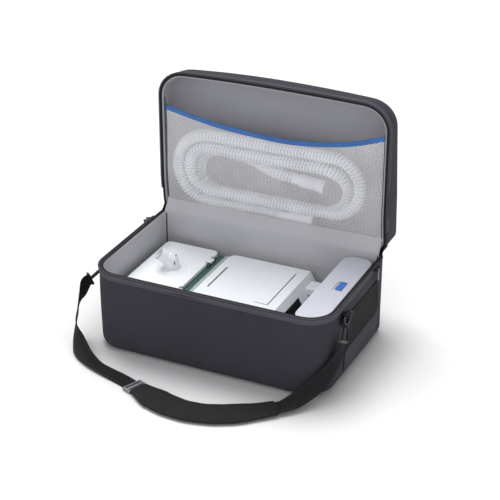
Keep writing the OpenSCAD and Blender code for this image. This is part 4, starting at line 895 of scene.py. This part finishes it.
LEFT_ROUTE = (
    [past_bar(-1, 60, 25, d) for d in (GAP, 4, 8)]
    + [LEFT_CORNER + array(q) for q in [
        (-27, 18, 84), (-32, 12, 66), (-34.5, 8, 45), (-33, 2, 27), (-23, -11, 14), (1, -36, 7),
        (32, -54, WEB_Z + 1.5), (60, -64.5, WEB_Z + 1), (88, -73, WEB_Z + 0.5)]]
    + [ADJUSTER_AT - ADJUSTER_WAY * (ADJUSTER_L / 2 + d) + array([0, 0, WEB_Z]) for d in (12, 6, GAP)])
LEFT_FACES = [(-0.91, 0.37, 0.21)] * 3 + [
    (-0.93, 0, 0.2), (-0.9, -0.42, 0), (-0.9, -0.42, 0), (-0.85, -0.55, 0.3), (-0.6, -0.55, 0.6),
    (-0.2, -0.2, 1), (0, 0.1, 1), (0, 0.1, 1)] + [(0, 0, 1)] * 4

PAD_W, PAD_T, PAD_BOW, PAD_LOW = 54.0, 9.0, 43.0, 0.5
PAD_START = ADJUSTER_AT + ADJUSTER_WAY * (ADJUSTER_L / 2 + GAP)
PAD_STOP = RIGHT_CORNER + array([-58.5, -55.5, 8.8])
PAD_UP = array([0.04, -0.08, 1])
PAD_END_W = WEB_W + 6
PAD_STEPS, PAD_SIDES = 90, 28
SEAM_IN, PIPE_T = 4.6, 1.2


def pad_at(f):
    """Middle of the pad at a share of its length: bowed on the floor, its end lifted."""
    flat = PAD_START[:2] + (PAD_STOP[:2] - PAD_START[:2]) * f
    middle = PAD_LOW + PAD_T / 2
    return array([flat[0], flat[1] - PAD_BOW * sin(pi * f), middle + (PAD_STOP[2] - middle) * f**8])


def pad_half(f):
    """Half the width of the pad, which narrows to its ends."""
    return (PAD_END_W + (PAD_W - PAD_END_W) * min(1, 6 * f, 4 * (1 - f))) / 2


PAD_WAY = unit(pad_at(1) - pad_at(1 - 1 / 24))
RIGHT_ROUTE = (
    [PAD_STOP + PAD_WAY * d for d in (GAP, 5, 10)]
    + [RIGHT_CORNER + array(q) for q in [
        (-36.5, -35.5, 15), (-19.5, -14.5, 27), (-4, 8.5, 43), (4, 26, 58), (8, 37, 70)]]
    + [past_bar(1, 30, 4, d) for d in (8, 4, GAP)])
RIGHT_FACES = [tuple(PAD_UP)] * 3 + [
    (0.2, -0.4, 1), (0.5, -0.7, 0.8), (0.8, -0.7, 0.4), (1, -0.4, 0.2), (1, -0.15, 0.1)] + [(1, 0, 0.1)] * 3


def frames(points, faces):
    """Across and up directions at each point of a route."""
    t = unit(np.gradient(points, axis=0))
    up = unit(faces - (faces * t).sum(1)[:, None] * t)
    return np.cross(t, up), up


def webbing(name, route, faces, node):
    """Flat strap along a route, with a row of stitches near each edge."""
    p = soft_line(route, 8)
    across, up = frames(p, soft_line(faces, 8))
    d = reach(p)
    h, t = WEB_W / 2, WEB_T / 2
    section = both_faces([(-h, -0.3), (0.8 - h, -t), (-h / 2, -t), (0, -t), (h / 2, -t), (h - 0.8, -t),
                          (h, -0.3)])
    rings = [array([p[i] + across[i] * a + up[i] * b for a, b in section]) for i in range(len(p))]
    uv = [(a + b, step) for step in d for a, b in section]
    piece(name, loft(rings), "case", "web", node, uv=uv, sharp=50)
    rows = [p + across * s * (h - 3) + up * (t + 0.02) for s in (-1, 1)]
    threads = join([stitches(r, up, 3.6, 2.4, 0.28) for r in rows])
    piece(name + "_stitches", threads, "case", "thread", sharp=80)


webbing("strap_web_left_cloth", LEFT_ROUTE, LEFT_FACES, "strap_web_left")
webbing("strap_web_right_cloth", RIGHT_ROUTE, RIGHT_FACES, "strap_web_right")


def shoulder_pad():
    """Crowned pad with a thin edge, a sewn channel inside it and small crinkles."""
    shares = [k / PAD_STEPS for k in range(PAD_STEPS + 1)]
    p = array([pad_at(f) for f in shares])
    across, up = frames(p, array([array([0, 0, 1]) * (1 - f**6) + PAD_UP * f**6 for f in shares]))
    d = reach(p)
    rings, uv = [], []
    for k, f in enumerate(shares):
        half = pad_half(f) * (1 - 0.012 * (1 + sin(37 * f)))
        crown = PAD_T / 2 * (0.55 + 0.45 * min(1, 9 * f, 9 * (1 - f)))
        crinkle = 0.35 * sin(60 * f + 1) * sin(23 * f)
        ring = []
        for j in range(PAD_SIDES):
            a = 2 * pi * j / PAD_SIDES
            s = cos(a)
            w = half * copysign(abs(s) ** 0.85, s)
            edge = half - abs(w)
            h = PIPE_T + (crown - PIPE_T) * float(smooth_step(edge / 9))
            h -= 0.5 * exp(-((edge - 4.5) / 0.8) ** 2)
            h = h + crinkle * float(smooth_step(edge / 12)) if edge > 0.3 else 0.9
            way = copysign(min(1.0, abs(sin(a)) * 4), sin(a)) if abs(s) < 0.9999 else 0
            ring.append(p[k] + across[k] * w + up[k] * h * way)
            uv.append((w, d[k]))
        rings.append(array(ring))
    pad = piece("shoulder_pad_cloth", loft(rings), "case", "pad", "shoulder_pad", uv=uv)
    kept = range(4, PAD_STEPS - 3)
    rows = []
    for s in (-1, 1):
        line = [p[k] + across[k] * s * (pad_half(shares[k]) - SEAM_IN) + up[k] * 2.0 for k in kept]
        rows.append(stitches(line, up[kept], 3.4, 2.4, 0.35))
    piece("shoulder_pad_stitches", join(rows), "case", "thread", sharp=80)


shoulder_pad()

# Net pocket in the lid, with its blue elastic edge

NET_LOW, NET_R, TRIM = 7.0, 9.5, 8.0
MESH_U, MESH_V, THREAD_R, NET_ROWS = 2.7, 2.15, 0.46, 98
EDGE_LOW, EDGE_MID, EDGE_RIGHT, EDGE_LEFT = 173, 20, 38, 25
TRIM_SECTION = ((0, 0), (0.6, 0.9), (4.6, 1.2), (8.6, 0.9), (9.2, 0), (8.6, -0.9), (4.6, -1.2), (0.6, -0.9))


def edge_v(u):
    """Height of the net's hollowed edge, lowest right of the middle."""
    u = array(u)
    right = EDGE_RIGHT * np.clip((u - EDGE_MID) / (IN_X - EDGE_MID), 0, 9) ** 2
    left = EDGE_LEFT * np.clip((EDGE_MID - u) / (IN_X + EDGE_MID), 0, 9) ** 2
    return EDGE_LOW + right + left


def net_w(u, v):
    """Distance of the net off the panel, with small waves."""
    return NET_W + 0.7 * folds(np.stack([u, v, np.zeros_like(u)], -1), 70, 31)


def net_thread(k, sign):
    """One slanting thread, cut at the net's sides, round lower corners and edge."""
    v = np.arange(0, NET_ROWS) * MESH_V + NET_LOW
    u = 2 * MESH_U * k + sign * (v - NET_LOW) * MESH_U / MESH_V
    beyond = np.clip(np.abs(u) - IN_X + NET_R, 0, NET_R)
    corner = NET_LOW + NET_R - np.sqrt(NET_R**2 - beyond**2)
    keep = (np.abs(u) < IN_X - 0.3) & (v < edge_v(u) - TRIM / 2) & (v > corner)
    u, v = u[keep], v[keep]
    return on_panel(u, v, net_w(u, v) + sign * 0.16) if len(u) > 2 else []


def net():
    """Net of crossing threads, and the elastic tape over its edge."""
    reach_u = IN_X + 200 * MESH_U / MESH_V
    last = int(reach_u / (2 * MESH_U)) + 1
    threads = [net_thread(k, sign) for sign in (1, -1) for k in range(-last, last + 1)]
    shape = join([tube(line, THREAD_R, 4) for line in threads if len(line)])
    cloth = piece("net_cloth", shape, "lid", "net", "net_pocket", sharp=80)
    rings, uv = [], []
    for x in np.linspace(-IN_X + 0.2, IN_X - 0.2, 90):
        top = float(edge_v(x))
        w = float(net_w(array([x]), array([top]))[0])
        gather = 0.15 * sin(x / 1.7) * sin(x / 11)
        rings.append(array([on_panel(x, top - drop, w + out + gather) for drop, out in TRIM_SECTION]))
        uv += [(drop, x + 300) for drop, _ in TRIM_SECTION]
    trim = piece("pocket_edge", loft(rings), "lid", "trim", "pocket_trim", uv=uv, sharp=50)


net()

# Soft blocks inside the machine: muffler foam and inlet filter

UNIT_H = 85.0
MAIN_X, MAIN_L = 126.3, 173.7
FOAM_AT = UNIT + array([MAIN_X + 96, 193 - 65, 0])
FOAM_HALF, FOAM_LOW, FOAM_HIGH, FOAM_HOLE = 46.0, 5.7, 28.9, 14.5
SLOPE_ANGLE = atan(22 / 40)
SLOPE = array([[cos(SLOPE_ANGLE), 0, -sin(SLOPE_ANGLE)], [0, 1, 0], [sin(SLOPE_ANGLE), 0, cos(SLOPE_ANGLE)]])
SLOPE_AT = UNIT + array([MAIN_X + MAIN_L - 22, 93, UNIT_H]) + SLOPE @ array([0, 0, -25])


def soft_block(name, low, high, look, node, hole=None, turn=None, origin=None):
    """Foam block with worn edges and a wavy skin, with a round hole if one is given."""
    low, high = array(low), array(high)
    mid, half = (low + high) / 2, (high - low) / 2
    levels = [(-half[2] + 0.1, 1.2), (-half[2] + 1.2, 0.1), (half[2] - 1.2, 0.1), (half[2] - 0.1, 1.2)]
    rings = [raised(rounded(half[0] - inset, half[1] - inset, 3.0, 12, 12, 4), z) for z, inset in levels]
    if hole:
        a = np.arctan2(rings[0][:, 1], rings[0][:, 0])
        around = np.column_stack([np.cos(a), np.sin(a)])
        rings += [raised((hole + inset * 0.4) * around, z) for z, inset in levels[::-1]] + rings[:1]
    v, f = loft(rings, caps=not hole)
    v = v + 0.15 * np.stack([folds(v, 9, s) for s in (1, 2, 3)], -1) + mid
    if turn is not None:
        v = v @ array(turn).T + origin
    piece(name, (v, f), "machine", look, node)


soft_block("foam_block", FOAM_AT + array([-FOAM_HALF, -FOAM_HALF, FOAM_LOW]),
           FOAM_AT + array([FOAM_HALF, FOAM_HALF, FOAM_HIGH]), "foam", "muffler_foam", hole=FOAM_HOLE)
soft_block("filter_mat", (-7.9, -32, -11.5), (-2.9, 32, 11.5), "filter", "inlet_filter",
           turn=SLOPE, origin=SLOPE_AT)

# Rigid parts keep their solids: the material of each, and the width of its softened edges

# The box's material is partly its own grey and partly painted shade from the open lid.
RIGID = """
dark_steel d_rings=0 zip_slider_left=0.5 zip_slider_right=0.5 zip_pull_left=0.4 zip_pull_right=0.4
dull_steel strap_adjuster=0.9
black_plastic snap_hooks=0.8 inlet_grille=0.3 power_inlet=0.5
white bottom_casing=1.0 top_casing=1.8 data_module=1.2 humidifier_base=1.0 tank_cover=1.2 swivel_elbow=0.8
steel casing_screws=0.2 motor_shaft=0.2 tank_hinge_pins=0.2 box_hinge_pin=0.2
inner blower_housing=0.8 air_duct=0.4
aluminium heater_plate=0.4 tank_plate=0.4
box box_base=1.0 box_lid=1.2
rubber rubber_feet=0.8
motor motor_can=1.0
impeller impeller=0.3
board main_board=0.2
lcd lcd_panel=0.4
glass display_window=0.3
dial control_dial=0.6
green start_button=0.6
grey ramp_button=0.6
tank water_tank=0.8
seal tank_seal=0.5
latch box_latch=0.8
"""


def modify(obj, name, kind, **settings):
    made = obj.modifiers.new(name, kind)
    for setting, value in settings.items():
        setattr(made, setting, value)


def finish_solid(obj, look, width):
    """Gives a solid its material, welds it and rounds its sharp edges by a width."""
    obj.data.materials.clear()
    obj.data.materials.append(M[look])
    modify(obj, "weld", "WELD", merge_threshold=0.00002)
    modify(obj, "flat", "DECIMATE", decimate_type="DISSOLVE", angle_limit=radians(1))
    if width:
        modify(obj, "edges", "BEVEL", width=width * MM, segments=3, limit_method="ANGLE",
               angle_limit=radians(35), harden_normals=False)
    modify(obj, "normals", "WEIGHTED_NORMAL", keep_sharp=False)
    obj.data.polygons.foreach_set("use_smooth", [True] * len(obj.data.polygons))


for (look,), widths in rows_of(RIGID):
    for node, width in widths.items():
        finish_solid(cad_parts[node], look, width)

# Fine details of the machine: lines of painted shade on its top, and the clear bar at the tank's edge with
# lines of painted shade along it

SLOT_X, SLOT_Y, SLOT_L = MAIN_X + 13, 68.0, 78.0
ELL_X, ELL_Y, ELL_L, ELL_FOOT = MAIN_X + MAIN_L - 42, 52.0, 121.0, 23.0
GROOVE_Z, GROOVE_T = UNIT_H - 1.35, 0.5


def on_unit(low, high, chamfer=0.0):
    return block(UNIT + array(low), UNIT + array(high), chamfer=chamfer)


# Dark strips in the lines on the top: painted shade.
lines = [on_unit((x0, y0, GROOVE_Z), (x1, y1, GROOVE_Z + GROOVE_T)) for x0, y0, x1, y1 in (
    (SLOT_X + 0.1, SLOT_Y + 0.1, SLOT_X + 3.1, SLOT_Y + SLOT_L - 0.1),
    (ELL_X + 0.1, ELL_Y + 0.1, ELL_X + 2.1, ELL_Y + ELL_L - 0.1),
    (ELL_X - ELL_FOOT + 0.1, ELL_Y + 0.1, ELL_X, ELL_Y + 2.1))]
piece("top_line_shades", join(lines), "machine", "groove")

piece("tank_rim_bar", on_unit((117, 6, 79), (124.4, 187, 83.4), 0.8), "tank", "mint", sharp=30)
# Dark lines along the tank's rim bar: painted shade.
for k, x in enumerate((118.2, 121.6)):
    piece(f"tank_rim_shade_line_{k}", on_unit((x, 8, 83.2), (x + 0.9, 185, 83.7), 0.2), "tank", "groove",
          sharp=30)

# Soft boss under the elbow, marks of painted shade for the elbow's slots, and its grey mouth ring, painted
# shade inside the bore

ELBOW = UNIT + array([54.0, 102.0, 99.0])
OUTLET = array([-0.67456, -0.43008, 0.6])
BOSS_DROP, LATHE_SIDES = 14.0, 48


def lathe(section, origin, way):
    """Turned shape: section rows are distance along the way and radius."""
    way = array(way)
    side = unit(np.cross(way, [0.3, 0.9, 0.1]))
    up = np.cross(side, way)
    return loft([ring_about(origin + way * x, r, side, up, LATHE_SIDES) for x, r in section], caps=False)


boss = [(-0.4, 27.0), (0.3, 26.6), (1.0, 24.6), (1.9, 21.0), (2.4, 18.6), (2.6, 16.6), (-0.4, 16.4),
        (-0.4, 27.0)]
piece("elbow_boss", lathe(boss, ELBOW - array([0, 0, BOSS_DROP]), (0, 0, 1)), "tank_lid", "white")
ring = [(24.6, 7.8), (25.25, 7.9), (25.5, 8.6), (25.5, 9.6), (25.2, 10.2), (24.6, 10.0), (24.6, 7.8)]
# Grey ring at the elbow's mouth: painted shade of the bore's inside.
piece("elbow_mouth_ring", lathe(ring, ELBOW, OUTLET), "elbow", "mouth", sharp=50)
# Dark marks for the elbow's slots: painted shade.
for k, (turn, lift, upright) in enumerate(((-38, 6, True), (20, 52, False))):
    t, e = radians(turn), radians(lift)
    out = array([cos(t) * cos(e), sin(t) * cos(e), sin(e)])
    across = array([-sin(t), cos(t), 0])
    way = np.cross(out, across) if upright else across
    mark = tube([ELBOW + out * 13.0 + way * x for x in (-3.0, -1.5, 0, 1.5, 3.0)], 1.2, 8)
    piece(f"elbow_slot_shade_{k}", mark, "elbow", "groove")

# Floor and light

FLOOR_HALF, FLOOR_LIT, FLOOR_SEEN = 30.0, 0.8, 0.775
SKY_LIT, SKY_COLOUR, SKY_SEEN = 0.67, (0.97, 0.98, 1.0, 1), 1.0


def seen_rays(tree):
    """One for rays from the camera, and for those that gloss and clear plastic send on; else nothing."""
    rays = add_node(tree, "LightPath").outputs
    first = maths(tree, "MAXIMUM", rays["Is Camera Ray"], rays["Is Glossy Ray"])
    return maths(tree, "MAXIMUM", first, rays["Is Transmission Ray"])


def show(tree, lit, seen, kind):
    """Gives one shader to the rays that light the scene and the other to those that show it."""
    mix = add_node(tree, "MixShader", Fac=seen_rays(tree))
    feed(tree, mix.inputs[1], lit.outputs[0])
    feed(tree, mix.inputs[2], seen.outputs[0])
    add_node(tree, "Output" + kind, Surface=mix.outputs[0])


def painted_floor_shadow(tree, distance, closed, clear, least, most):
    """Painted shadow on the floor: a tone that darkens where the floor is less open over a distance."""
    shade = add_node(tree, "AmbientOcclusion", Distance=distance)
    shade.samples = 12
    tone = add_node(tree, "MapRange", Value=shade.outputs["AO"], From_Min=closed, From_Max=clear,
                    To_Min=least, To_Max=most)
    return tone.outputs["Result"]


def floor():
    mesh = bpy.data.meshes.new("floor")
    mesh.from_pydata([(x * FLOOR_HALF, y * FLOOR_HALF, 0) for x, y in CORNERS], [], [(0, 1, 2, 3)])
    m = bpy.data.materials.new("floor_paper")
    m.use_nodes = True
    tree = m.node_tree
    tree.nodes.clear()
    lit = add_node(tree, "BsdfDiffuse", Color=(FLOOR_LIT, FLOOR_LIT, FLOOR_LIT, 1))
    # Painted shadow: the floor seen by the camera darkens widely near the case and closely under the strap.
    far_shadow = painted_floor_shadow(tree, 0.32, 0.35, 0.93, 0.80 * FLOOR_SEEN, FLOOR_SEEN)
    close = painted_floor_shadow(tree, 0.09, 0.6, 0.97, 0.84, 1)
    seen = add_node(tree, "BsdfDiffuse", Color=maths(tree, "MULTIPLY", far_shadow, close))
    show(tree, lit, seen, "Material")
    mesh.materials.append(m)
    placed("floor", mesh)


def sky():
    world = bpy.data.worlds.new("world")
    scene.world = world
    world.use_nodes = True
    tree = world.node_tree
    tree.nodes.clear()
    lit = add_node(tree, "Background", Strength=SKY_LIT, Color=SKY_COLOUR)
    seen = add_node(tree, "Background", Strength=SKY_SEEN)
    show(tree, lit, seen, "World")


floor()
sky()

# Two distant lamps: strength, width in degrees and direction

for name, energy, spread, way in (("key", 2.58, 38, (-0.3, 0.4, 1.0)), ("fill", 0.6, 60, (0.1, -0.9, 0.5))):
    light = bpy.data.lights.new(name, "SUN")
    light.energy = energy
    light.angle = radians(spread)
    placed(name, light).rotation_euler = Vector(way).to_track_quat("Z", "Y").to_euler()
